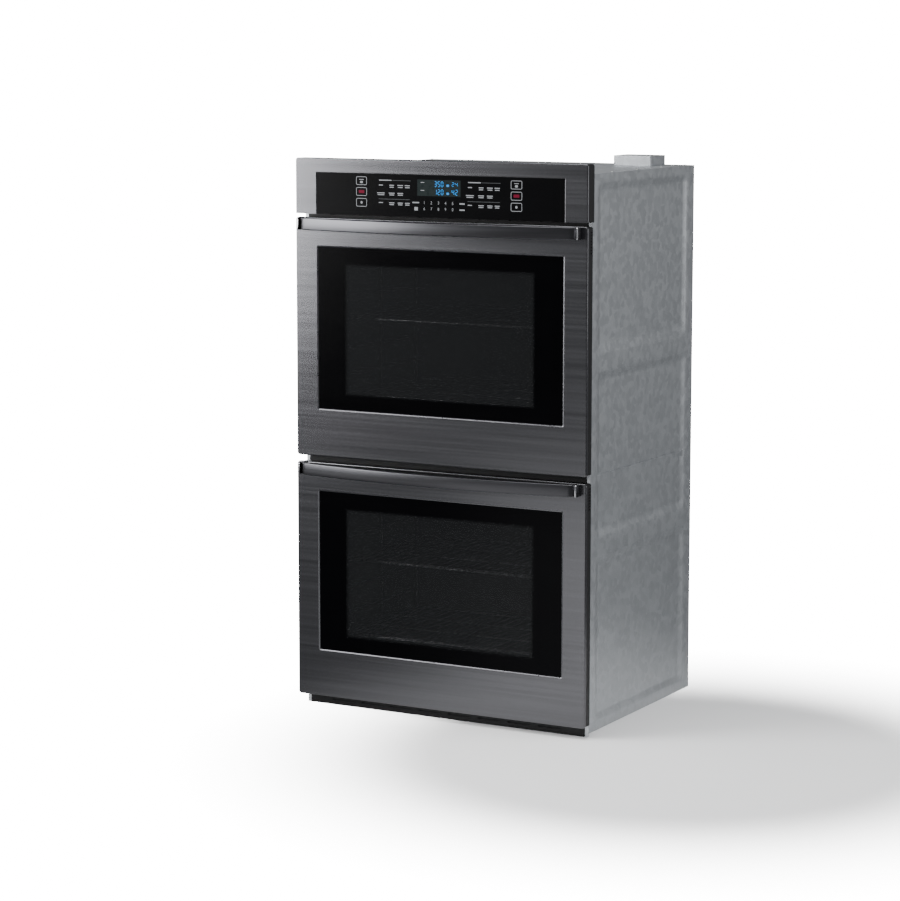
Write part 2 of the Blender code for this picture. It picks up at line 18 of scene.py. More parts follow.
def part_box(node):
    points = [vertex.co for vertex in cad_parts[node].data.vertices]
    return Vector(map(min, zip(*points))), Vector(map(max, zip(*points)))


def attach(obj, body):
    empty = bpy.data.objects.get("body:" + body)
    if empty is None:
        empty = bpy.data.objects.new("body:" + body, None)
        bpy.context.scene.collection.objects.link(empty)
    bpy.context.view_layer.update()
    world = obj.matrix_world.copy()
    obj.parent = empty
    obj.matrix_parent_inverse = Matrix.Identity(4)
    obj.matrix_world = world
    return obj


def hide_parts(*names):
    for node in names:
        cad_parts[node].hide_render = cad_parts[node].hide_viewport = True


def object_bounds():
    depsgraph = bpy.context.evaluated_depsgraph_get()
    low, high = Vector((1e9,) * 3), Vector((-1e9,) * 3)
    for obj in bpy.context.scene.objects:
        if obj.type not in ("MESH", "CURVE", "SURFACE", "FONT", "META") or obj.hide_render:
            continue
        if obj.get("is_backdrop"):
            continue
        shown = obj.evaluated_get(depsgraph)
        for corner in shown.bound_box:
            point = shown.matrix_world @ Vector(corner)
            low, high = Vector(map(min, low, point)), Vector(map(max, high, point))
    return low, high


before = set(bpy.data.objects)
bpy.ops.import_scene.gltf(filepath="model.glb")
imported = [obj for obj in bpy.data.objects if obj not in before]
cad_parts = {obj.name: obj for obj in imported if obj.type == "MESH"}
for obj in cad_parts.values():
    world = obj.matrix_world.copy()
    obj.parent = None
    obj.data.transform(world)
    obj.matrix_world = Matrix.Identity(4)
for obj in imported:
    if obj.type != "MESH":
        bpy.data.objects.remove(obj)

log = logging.getLogger("wall_oven")
Array = np.ndarray
Node = bpy.types.Node
Piece = bpy.types.Object
Socket = bpy.types.NodeSocket
Tree = bpy.types.NodeTree
Pair = tuple[float, float]
Triple = tuple[float, float, float]

SHEET = 0.0012  # gauge of the pressed steel
INK = 0.00012  # how far a printed mark stands off the glass
CREASE = 32.0  # degrees; a sharper bend is a hard edge
MERGE = 2e-6  # points nearer than this are one
ACROSS = (1.0, 0.0, 0.0)
BACK = (0.0, 1.0, 0.0)
UP = (0.0, 0.0, 1.0)
GRAIN = (0.3, 0.7)  # what cloudy noise mostly lies between
WAVE = 0.31  # the scale at which a wave pattern repeats once per unit
GLASS_IOR = 1.52


class Side(Enum):
    """Which hand of the oven a piece is on; the value is the sign of its X."""

    LEFT = -1
    RIGHT = 1


class Level(Enum):
    """Which of the two ovens; the value begins the names of its nodes and bodies."""

    LOWER = "lower"
    UPPER = "upper"


# --- Shapes ------------------------------------------------------------------------------


def eased(value: Array, low: float, high: float) -> Array:
    """Runs from 0 at low to 1 at high, flat at both ends: 3t^2 - 2t^3."""
    t = np.clip((value - low) / (high - low), 0.0, 1.0)
    return t * t * (3 - 2 * t)


def ring(x: Pair, z: Pair, radius: float, steps: int = 6) -> Array:
    """Goes once round a rectangle with rounded corners, anticlockwise, and ends where it began.

    Each corner is a quarter circle: its centre plus radius times (cos a, sin a).

    Args:
        x: the two ends of the rectangle across.
        z: the two ends of the rectangle up.
        radius: of each corner.
        steps: chords in each corner.

    Returns:
        The points, 4 * (steps + 1) + 1 by 2.
    """
    turn = np.linspace(0, math.pi / 2, steps + 1)
    angle = (np.arange(4)[:, None] * math.pi / 2 - math.pi / 2 + turn).ravel()
    across = np.repeat([x[1] - radius, x[1] - radius, x[0] + radius, x[0] + radius], steps + 1)
    up = np.repeat([z[0] + radius, z[1] - radius, z[1] - radius, z[0] + radius], steps + 1)
    points = np.stack((across + radius * np.cos(angle), up + radius * np.sin(angle)), axis=1)
    return np.concatenate((points, points[:1]))


def arch(half: float, z: Pair, radius: float, steps: int = 6) -> Array:
    """Goes up the left leg of an arch, over two rounded corners and down the right leg."""
    angle = np.linspace(math.pi, math.pi / 2, steps + 1)
    corner = np.stack((radius * np.cos(angle), radius * np.sin(angle)), axis=1)
    left = corner + (radius - half, z[1] - radius)
    right = (left * (-1, 1))[::-1]
    return np.concatenate(([[-half, z[0]]], left, right, [[half, z[0]]]))


def stack(loops: list[tuple[Array, float]]) -> Array:
    """A skin through loops in X and Z: one row for each loop, at its own place along Y."""
    flat = np.array([loop for loop, _ in loops])
    place = np.broadcast_to(np.array([p for _, p in loops])[:, None], flat.shape[:2])
    return np.stack((flat[..., 0], place, flat[..., 1]), axis=-1)


def rounded_edge(radius: float, steps: int = 5) -> tuple[Array, Array]:
    """How far a rounded edge has gone in, r(1 - cos a), and back, r(1 - sin a), as a goes to 90."""
    angle = np.linspace(0, math.pi / 2, steps + 1)
    return radius * (1 - np.cos(angle)), radius * (1 - np.sin(angle))


def swept(path: Array, section: Array, normal: Triple) -> Array:
    """Carries a section along a path that lies in one plane.

    A point is path + a * side + b * normal, where (a, b) is the section's point and side is
    the unit vector across the path, tangent x normal.

    Args:
        path: points, n by 3. If it closes, its last point repeats its first.
        section: points (a, b) of the section, m by 2.
        normal: of the plane that holds the path.

    Returns:
        The grid, n by m by 3.
    """
    closed = np.allclose(path[0], path[-1])
    tangent = np.gradient(path, axis=0)
    if closed:
        tangent[0] = tangent[-1] = path[1] - path[-2]
    up = np.array(normal)
    side = np.cross(tangent, up)
    side /= np.linalg.norm(side, axis=1)[:, None]
    return path[:, None] + section[None, :, :1] * side[:, None] + section[None, :, 1:] * up


def circle(radius: float, sides: int) -> Array:
    """A closed circle of (a, b) points."""
    angle = np.linspace(0, 2 * math.pi, sides + 1)
    return radius * np.stack((np.cos(angle), np.sin(angle)), axis=1)


def capped(grid: Array) -> Array:
    """The grid with its first and last rows drawn in to their middles, so that its ends close."""
    ends = [np.broadcast_to(row[:-1].mean(axis=0), row.shape)[None] for row in (grid[0], grid[-1])]
    return np.concatenate((ends[0], grid, ends[1]))


def rod(start: Array, end: Array, radius: float, normal: Triple, sides: int = 10) -> Array:
    """A straight round wire with closed ends."""
    return capped(swept(np.array((start, end), float), circle(radius, sides), normal))


class Surface:
    """Grids of points gathered into one mesh, with a UV map in metres along its rows and columns."""

    def __init__(self) -> None:
        """Starts with nothing."""
        self.points: list[Array] = []
        self.faces: list[Array] = []
        self.lengths: list[Array] = []

    def add(self, grid: Array, keep: Array | None = None) -> "Surface":
        """Adds a grid whose faces join each point to its neighbours in its row and column.

        Args:
            grid: the points, rows by columns by 3.
            keep: which faces to make, one fewer each way; all of them if it is left out.

        Returns:
            This surface, so that calls can follow one another.
        """
        rows, columns = grid.shape[:2]
        index = np.arange(rows * columns).reshape(rows, columns)
        corners = (index[:-1, :-1], index[1:, :-1], index[1:, 1:], index[:-1, 1:])
        quads = np.stack(corners, axis=-1)
        quads = quads.reshape(-1, 4) if keep is None else quads[keep]
        along = np.cumsum(np.linalg.norm(np.diff(grid, axis=1, prepend=grid[:, :1]), axis=2), axis=1)
        down = np.cumsum(np.linalg.norm(np.diff(grid, axis=0, prepend=grid[:1]), axis=2), axis=0)
        return self.add_faces(grid.reshape(-1, 3), quads, np.stack((along, down), axis=-1).reshape(-1, 2))

    def add_faces(self, points: Array, faces: Array, lengths: Array | None = None) -> "Surface":
        """Adds points, n by 3, with faces that all have the same number of corners."""
        self.faces.append(faces + sum(len(block) for block in self.points))
        self.points.append(points)
        self.lengths.append(np.zeros((len(points), 2)) if lengths is None else lengths)
        return self

    def tablet(self, loop: Array, back: float, front: float) -> "Surface":
        """Adds a flat mark: a loop in X and Z that rises from back to front and is closed over."""
        self.add(stack([(loop, back), (loop, front)]))
        face = np.stack((loop[:-1, 0], np.full(len(loop) - 1, front), loop[:-1, 1]), axis=1)
        return self.add_faces(face, np.arange(len(face))[None])

    def build(self, name: str, crease: float = CREASE) -> Piece:
        """Makes the object, with doubles merged, faces outwards and edges sharp past crease degrees."""
        mesh = bpy.data.meshes.new(name)
        faces = [face for block in self.faces for face in block.tolist()]
        mesh.from_pydata(np.concatenate(self.points).tolist(), [], faces)
        corner = np.zeros(len(mesh.loops), np.int32)
        mesh.loops.foreach_get("vertex_index", corner)
        layer = mesh.uv_layers.new(name="length")
        layer.data.foreach_set("uv", np.concatenate(self.lengths)[corner].astype(np.float32).ravel())
        form = bmesh.new()
        form.from_mesh(mesh)
        bmesh.ops.remove_doubles(form, verts=form.verts, dist=MERGE)
        bmesh.ops.recalc_face_normals(form, faces=form.faces)
        form.to_mesh(mesh)
        form.free()
        mesh.shade_smooth()
        mesh.set_sharp_from_angle(angle=math.radians(crease))
        made = bpy.data.objects.new(name, mesh)
        bpy.context.scene.collection.objects.link(made)
        return made


def thicken(piece: Piece, wall: float, crease: float = CREASE) -> Piece:
    """Gives an open skin its wall, inwards, and keeps the shell's own edges sharp."""
    step = piece.modifiers.new("wall", "SOLIDIFY")
    step.thickness = wall
    step.offset = -1.0
    step.use_even_offset = True
    step.use_quality_normals = True
    graph = bpy.context.evaluated_depsgraph_get()
    shell = bpy.data.meshes.new_from_object(piece.evaluated_get(graph))
    piece.modifiers.clear()
    piece.data = shell
    shell.set_sharp_from_angle(angle=math.radians(crease))
    return piece


def face_towards(piece: Piece, direction: Triple) -> Piece:
    """Turns an open sheet round if more of it faces away from a direction than towards it."""
    normals = np.array([face.normal for face in piece.data.polygons])
    if (normals @ np.array(direction)).sum() < 0:
        piece.data.flip_normals()
    return piece


# --- Finishes ----------------------------------------------------------------------------


def linear(colour: str) -> tuple[float, float, float, float]:
    """Turns an sRGB hex colour, such as "#1c1d20", into linear red, green, blue and alpha."""
    parts = np.array([int(colour[i:i + 2], 16) / 255 for i in (1, 3, 5)])
    parts = np.where(parts <= 0.04045, parts / 12.92, ((parts + 0.055) / 1.055) ** 2.4)
    return (*parts.tolist(), 1.0)


def add(tree: Tree, kind: str, inputs: dict | None = None, **options: object) -> Node:
    """Adds a shader node.

    Args:
        tree: the material's or the world's nodes.
        kind: the node's type, without "ShaderNode".
        inputs: for each input, by its name or number, the output that feeds it or its value.
        options: the node's own settings.

    Returns:
        The node.
    """
    made = tree.nodes.new("ShaderNode" + kind)
    for key, value in options.items():
        setattr(made, key, value)
    for key, value in (inputs or {}).items():
        if isinstance(value, Socket):
            tree.links.new(value, made.inputs[key])
        else:
            made.inputs[key].default_value = value
    return made


def per_mm(x: float, y: float, z: float) -> Triple:
    """The scale that makes a pattern of one unit as long as this many millimetres each way."""
    return (1000 / x, 1000 / y, 1000 / z)


class Look:
    """The nodes of one new material: its tree, its shader and the place of a point on the piece."""

    def __init__(self, made: bpy.types.Material, roughness: float) -> None:
        """Takes the material's own shader.

        Args:
            made: the material, which uses nodes.
            roughness: the value that the roughness strays from.
        """
        self.tree = made.node_tree
        self.shader = self.tree.nodes["Principled BSDF"]
        self.roughness = roughness
        self.place = add(self.tree, "TexCoord").outputs["Object"]

    def set(self, **values: float | tuple) -> None:
        """Sets the shader's own inputs; a name's underscores stand for spaces."""
        for name, value in values.items():
            self.shader.inputs[name.replace("_", " ")].default_value = value

    def noise(self, size: Triple, detail: float = 2.0) -> Socket:
        """Cloudy grain whose grains are this many millimetres long each way."""
        spread = add(self.tree, "Mapping", {"Vector": self.place, "Scale": per_mm(*size)})
        inputs = {"Vector": spread.outputs[0], "Scale": 1.0, "Detail": detail}
        return add(self.tree, "TexNoise", inputs).outputs["Fac"]

    def cells(self, size: Triple, **options: str) -> Node:
        """A pattern of cells this many millimetres across each way."""
        spread = add(self.tree, "Mapping", {"Vector": self.place, "Scale": per_mm(*size)})
        return add(self.tree, "TexVoronoi", {"Vector": spread.outputs[0], "Scale": 1.0}, **options)

    def tint(self, amount: Socket, low: str, high: str) -> None:
        """Mixes two colours by an amount and feeds the shader's base colour."""
        mix = add(self.tree, "Mix", {0: amount, 6: linear(low), 7: linear(high)}, data_type="RGBA")
        self.tree.links.new(mix.outputs[2], self.shader.inputs["Base Color"])

    def drive(self, name: str, amount: Socket, ends: Pair, span: Pair = (0.0, 1.0)) -> None:
        """Carries one of the shader's inputs between two ends as an amount crosses its span."""
        inputs = {"Value": amount, "From Min": span[0], "From Max": span[1],
                  "To Min": ends[0], "To Max": ends[1]}
        self.tree.links.new(add(self.tree, "MapRange", inputs).outputs[0], self.shader.inputs[name])

    def vary(self, amount: Socket, spread: float) -> None:
        """Lets the roughness stray either side of its value."""
        self.drive("Roughness", amount, (self.roughness - spread, self.roughness + spread), GRAIN)

    def emboss(self, height: Socket, millimetres: float, strength: float = 1.0) -> None:
        """Raises the pattern by this many millimetres."""
        inputs = {"Height": height, "Distance": millimetres / 1000, "Strength": strength}
        self.tree.links.new(add(self.tree, "Bump", inputs).outputs[0], self.shader.inputs["Normal"])


@dataclass(frozen=True)
class Finish:
    """A material: its name, its colour, and how rough and how metallic it is."""

    title: str
    colour: str
    roughness: float
    metallic: float = 0.0

    def material(self) -> bpy.types.Material:
        """The Blender material, made the first time that it is asked for."""
        found = bpy.data.materials.get(self.title)
        if found:
            return found
        made = bpy.data.materials.new(self.title)
        made.use_nodes = True
        look = Look(made, self.roughness)
        look.set(Base_Color=linear(self.colour), Roughness=self.roughness, Metallic=self.metallic)
        self.detail(look)
        return made

    def detail(self, look: Look) -> None:
        """Adds the grain, flecks or weave; each finish has its own."""


@dataclass(frozen=True)
class BrushedSteel(Finish):
    """Dark-coated stainless sheet, brushed along X. The belt leaves fine level lines, which
    stretch what it mirrors up and down. Real grit lines are 0.1 mm apart; these are drawn
    6 mm apart so that they show."""

    low: str = "#4d4d4f"
    high: str = "#5f5f62"

    def detail(self, look: Look) -> None:
        """Long level scratches in the colour, the gloss and the surface."""
        lines = look.noise((600, 40, 6))
        look.tint(lines, self.low, self.high)
        look.vary(lines, 0.02)
        look.emboss(lines, 0.002, 0.02)


@dataclass(frozen=True)
class PolishedSteel(Finish):
    """Stainless edge left bright, with faint buffing haze about 15 mm across."""

    def detail(self, look: Look) -> None:
        """Haze in the gloss only."""
        look.vary(look.noise((15, 15, 15)), 0.04)


@dataclass(frozen=True)
class GalvanisedSheet(Finish):
    """Hot-dip zinc-coated sheet: flat crystals about 14 mm across, each its own grey and gloss."""

    def detail(self, look: Look) -> None:
        """Spangle from cells, with a fine frost inside them."""
        cells = look.cells((14, 14, 14))
        grey = add(look.tree, "SeparateColor", {0: cells.outputs["Color"]}).outputs[0]
        look.tint(grey, "#a6a9ac", "#b1b4b7")
        look.vary(grey, 0.018)
        look.emboss(look.noise((2.5, 2.5, 2.5)), 0.03, 0.2)


@dataclass(frozen=True)
class PorcelainEnamel(Finish):
    """Fired porcelain enamel on steel: glassy blue-black, with pale flecks 1 mm across about
    5 mm apart, and the slight waviness of a fired glaze."""

    def detail(self, look: Look) -> None:
        """Flecks where a point is near the middle of a cell, and long low waves."""
        away = look.cells((5, 5, 5)).outputs["Distance"]
        inputs = {"Value": away, "From Min": 0.09, "From Max": 0.15, "To Min": 1.0, "To Max": 0.0}
        fleck = add(look.tree, "MapRange", inputs).outputs[0]
        look.tint(fleck, self.colour, "#8d939b")
        look.set(Coat_Weight=0.4, Coat_Roughness=0.06)
        look.emboss(look.noise((7, 7, 7), 1.0), 0.08, 0.4)


@dataclass(frozen=True)
class SatinCoat(Finish):
    """Baked paint or moulded plastic with a fine even texture: grain is its pitch in millimetres."""

    grain: float = 1.2
    relief: float = 0.04
    gloss: float = 0.22

    def detail(self, look: Look) -> None:
        """A fine orange-peel surface and a slight change of gloss."""
        look.set(Specular_IOR_Level=self.gloss)
        look.emboss(look.noise((self.grain,) * 3), self.relief, 0.6)
        look.vary(look.noise((40, 40, 40)), 0.04)


@dataclass(frozen=True)
class PlatedWire(Finish):
    """Nickel-chromium plated steel wire: bright, with a faint drawn haze."""

    def detail(self, look: Look) -> None:
        """Haze that runs from front to back."""
        look.vary(look.noise((6, 60, 6)), 0.05)


@dataclass(frozen=True)
class OxidisedSheath(Finish):
    """Nickel-iron element sheath, oxidised dull green-grey to brown where it has been red hot."""

    def detail(self, look: Look) -> None:
        """Patches of two oxides."""
        patches = look.noise((25, 25, 25), 3.0)
        look.tint(patches, "#26262a", "#4a4640")
        look.emboss(look.noise((1.2, 1.2, 1.2)), 0.05, 0.5)


@dataclass(frozen=True)
class MineralWool(Finish):
    """Bonded mineral-fibre blanket: straw-coloured, tangled fibres 20 mm long in soft lumps."""

    def detail(self, look: Look) -> None:
        """Long fine fibres across soft clumps."""
        fibres = look.noise((20, 2, 2), 4.0)
        look.tint(fibres, "#8f8460", "#d8cda6")
        look.emboss(fibres, 2.0, 0.8)


@dataclass(frozen=True)
class BraidedSeal(Finish):
    """Braided glass-fibre sleeve: two sets of yarns 2 mm apart that cross at right angles.
    Yarns is the wave pattern's scale, about one wave to each 2 mm."""

    yarns: float = 0.32

    def detail(self, look: Look) -> None:
        """Two slanting waves on the piece's own lengths; the higher yarn at each crossing shows, and the
        colour darkens where the weave is low, painted shade in the gaps between the yarns.
        """
        lengths = add(look.tree, "UVMap", uv_map="length").outputs[0]
        waves = []
        for turn in (math.pi / 4, -math.pi / 4):
            inputs = {"Vector": lengths, "Rotation": (0.0, 0.0, turn), "Scale": per_mm(2, 2, 2)}
            slanted = add(look.tree, "Mapping", inputs).outputs[0]
            waves.append(add(look.tree, "TexWave", {"Vector": slanted, "Scale": self.yarns}).outputs["Fac"])
        top = add(look.tree, "Math", {0: waves[0], 1: waves[1]}, operation="MAXIMUM").outputs[0]
        # Painted shade: darker where the weave is low, between the yarns.
        look.tint(top, "#2b2926", "#7d7972")
        look.emboss(top, 0.6, 0.9)


@dataclass(frozen=True)
class CircuitBoard(Finish):
    """Glass-epoxy board under green solder mask, with copper tracks 2 mm apart showing through."""

    def detail(self, look: Look) -> None:
        """Tracks from square-edged cells."""
        tracks = look.cells((9, 9, 3), distance="CHEBYCHEV").outputs["Distance"]
        look.tint(tracks, "#0b3a24", "#1d6a40")
        look.emboss(tracks, 0.05, 0.6)


@dataclass(frozen=True)
class LampLens(Finish):
    """Pressed borosilicate lens over the oven lamp, ribbed in rings 4 mm apart."""

    middle: Triple = (0.0, 0.0, 0.0)
    pitch: float = 0.004

    def detail(self, look: Look) -> None:
        """Rings round the lens's middle."""
        inputs = {"Vector": look.place, "Location": tuple(-v for v in self.middle)}
        centred = add(look.tree, "Mapping", inputs).outputs[0]
        inputs = {"Vector": centred, "Scale": WAVE / self.pitch}
        rings = add(look.tree, "TexWave", inputs, wave_type="RINGS", rings_direction="Y").outputs["Fac"]
        look.emboss(rings, 0.8, 0.6)
        look.set(Transmission_Weight=0.7, IOR=1.47)


@dataclass(frozen=True)
class PaintedGlass(Finish):
    """Float glass with black ceramic paint fired on its back: deep black under a hard gloss."""

    gloss: float = 0.03

    def detail(self, look: Look) -> None:
        """Very long low waves, as float glass has, and faint wiping marks in the gloss."""
        look.set(IOR=GLASS_IOR, Specular_IOR_Level=self.gloss)
        look.vary(look.noise((120, 120, 40)), 0.012)
        look.emboss(look.noise((180, 180, 180), 0.0), 0.05, 0.5)


@dataclass(frozen=True)
class WindowGlass(PaintedGlass):
    """Tinted oven-door glass. Black ceramic paint covers its border; inside, the paint breaks
    into dots 3 mm apart that shrink until the tinted glass is clear."""

    half: float = 0.25
    low: float = 0.0
    high: float = 0.0
    fade: float = 0.012
    pitch: float = 0.003
    clear: float = 0.60
    veil: str = "#1d1e1f"

    def detail(self, look: Look) -> None:
        """Paint covers where the distance past the clear pane's edge, plus the dots' own
        pattern, is above zero; elsewhere the glass lets most of the light through."""
        super().detail(look)

        def vector(operation: str, first: Socket, second: Triple = (0.0, 0.0, 0.0)) -> Node:
            """One step of vector arithmetic."""
            return add(look.tree, "VectorMath", {0: first, 1: second}, operation=operation)

        middle = (self.low + self.high) / 2
        inputs = {"Vector": look.place, "Location": (0.0, 0.0, -middle)}
        centred = add(look.tree, "Mapping", inputs).outputs[0]
        size = vector("ABSOLUTE", centred).outputs[0]
        past = vector("SUBTRACT", size, (self.half, 10.0, (self.high - self.low) / 2)).outputs[0]
        parts = add(look.tree, "SeparateXYZ", {0: past}).outputs
        edge = add(look.tree, "Math", {0: parts["X"], 1: parts["Z"]}, operation="MAXIMUM").outputs[0]
        inputs = {"Value": edge, "From Min": -self.fade, "From Max": 0.0, "To Min": 0.0, "To Max": 0.75}
        cover = add(look.tree, "MapRange", inputs).outputs[0]
        pitch = self.pitch
        cell = vector("MODULO", centred, (pitch, 10.0, pitch)).outputs[0]
        cell = vector("ABSOLUTE", cell).outputs[0]
        cell = vector("SUBTRACT", cell, (pitch / 2, 0.0, pitch / 2)).outputs[0]
        cell = vector("MULTIPLY", cell, (1 / pitch, 0.0, 1 / pitch)).outputs[0]
        reach = vector("LENGTH", cell).outputs["Value"]
        gap = add(look.tree, "Math", {0: cover, 1: reach}, operation="SUBTRACT").outputs[0]
        inputs = {"Value": gap, "From Min": -0.05, "From Max": 0.05}
        paint = add(look.tree, "MapRange", inputs).outputs[0]
        look.tint(paint, self.veil, self.colour)
        look.drive("Alpha", paint, (self.clear, 1.0))


@dataclass(frozen=True)
class ClearTint(Finish):
    """Inner pane: clear tempered glass with a faint grey tint and heat-softened reflections."""

    def detail(self, look: Look) -> None:
        """Faint baked-on haze 60 mm across in how much it hides."""
        look.set(IOR=GLASS_IOR, Specular_IOR_Level=0.2)
        look.drive("Alpha", look.noise((60, 60, 60)), (0.08, 0.14), GRAIN)


@dataclass(frozen=True)
class GlowingMark(Finish):
    """A mark on the glass that glows, a little uneven along its length: the red key lights and the display
    are lit from behind, but the printed ink's glow is painted light.
    """

    glow: float = 0.5

    def detail(self, look: Look) -> None:
        """The light strays by a tenth from spot to spot, 8 mm apart."""
        look.set(Specular_IOR_Level=0.06, Emission_Color=linear(self.colour))
        uneven = look.noise((8, 8, 8))
        look.vary(uneven, 0.05)
        look.drive("Emission Strength", uneven, (0.9 * self.glow, 1.1 * self.glow))


BLACK_STAINLESS = BrushedSteel("brushed_black_stainless", "#535355", 0.23, 1.0)
# A darker copy of the door's brushed black stainless: painted shade that dims the handle bar.
HANDLE_STEEL_PAINTED_SHADE = BrushedSteel("brushed_black_stainless_bar", "#4f4f51", 0.30, 1.0, "#3e3e40", "#4b4b4e")
CUT_BEVEL = PolishedSteel("bright_cut_bevel", "#5f5f62", 0.30, 1.0)
BRIGHT_EDGE = PolishedSteel("polished_stainless_edge", "#98989b", 0.22, 1.0)
GALVANISED = GalvanisedSheet("galvanised_sheet", "#a2a6aa", 0.42, 1.0)
ZINC_PLATE = PolishedSteel("zinc_plated_steel", "#b3b5b4", 0.30, 1.0)
ENAMEL = PorcelainEnamel("fired_porcelain_enamel", "#121317", 0.14)
BLACK_PAINT = SatinCoat("satin_black_paint", "#08080a", 0.42)
BLACK_PLASTIC = SatinCoat("moulded_black_plastic", "#0f0f11", 0.50, 0.0, 0.9, 0.06)
CHROME = PlatedWire("nickel_chrome_wire", "#c6c7c9", 0.28, 1.0)
SHEATH = OxidisedSheath("oxidised_element_sheath", "#35332f", 0.46, 1.0)
WOOL = MineralWool("mineral_wool", "#b5a878", 0.95)
BRAID = BraidedSeal("braided_glass_fibre", "#55524c", 0.80)
BOARD = CircuitBoard("solder_masked_board", "#12502f", 0.40)
PANEL_GLASS = PaintedGlass("back_painted_glass", "#070708", 0.22, 0.0, 0.04)
INNER_GLASS = ClearTint("tempered_inner_glass", "#0b0c0d", 0.05)
# Printed ink is no lamp: the glow of the white and grey ink below is painted light that brightens the print.
WHITE_INK_PAINTED_GLOW = GlowingMark("white_panel_ink_painted_glow", "#85878a", 0.55, 0.0, 0.10)
GREY_INK_PAINTED_GLOW = GlowingMark("grey_panel_ink_painted_glow", "#4a4c4e", 0.55, 0.0, 0.06)
RED_LIGHT = GlowingMark("red_key_light", "#5a0620", 0.45, 0.0, 0.25)
DISPLAY = GlowingMark("display_filter", "#161d1d", 0.30, 0.0, 0.25)
BLUE_LIGHT = GlowingMark("blue_display_segments", "#1f6ba6", 0.40, 0.0, 1.1)


# --- Fitting pieces to the frame -----------------------------------------------------------


def fit(piece: Piece, finish: Finish, body: str, slot: str, *nodes: str) -> Piece:
    """Dresses a new piece and makes it ride on a body.

    Args:
        piece: the new object.
        finish: its material.
        body: the body of the frame that it moves with.
        slot: the record's material slot that its finish comes from; it is not used.
        nodes: the CAD nodes that it stands for, which are hidden.

    Returns:
        The piece.
    """
    piece.data.materials.append(finish.material())
    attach(piece, body)
    if nodes:
        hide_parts(*nodes)
    log.info("%s: %d faces, %s, rides on %s", piece.name, len(piece.data.polygons), finish.title, body)
    return piece


def dress(finish: Finish, *nodes: str) -> None:
    """Gives CAD nodes whose shape is already right a full material."""
    for name in nodes:
        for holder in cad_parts[name].material_slots:
            holder.material = finish.material()
        log.info("%s: kept, %s", name, finish.title)


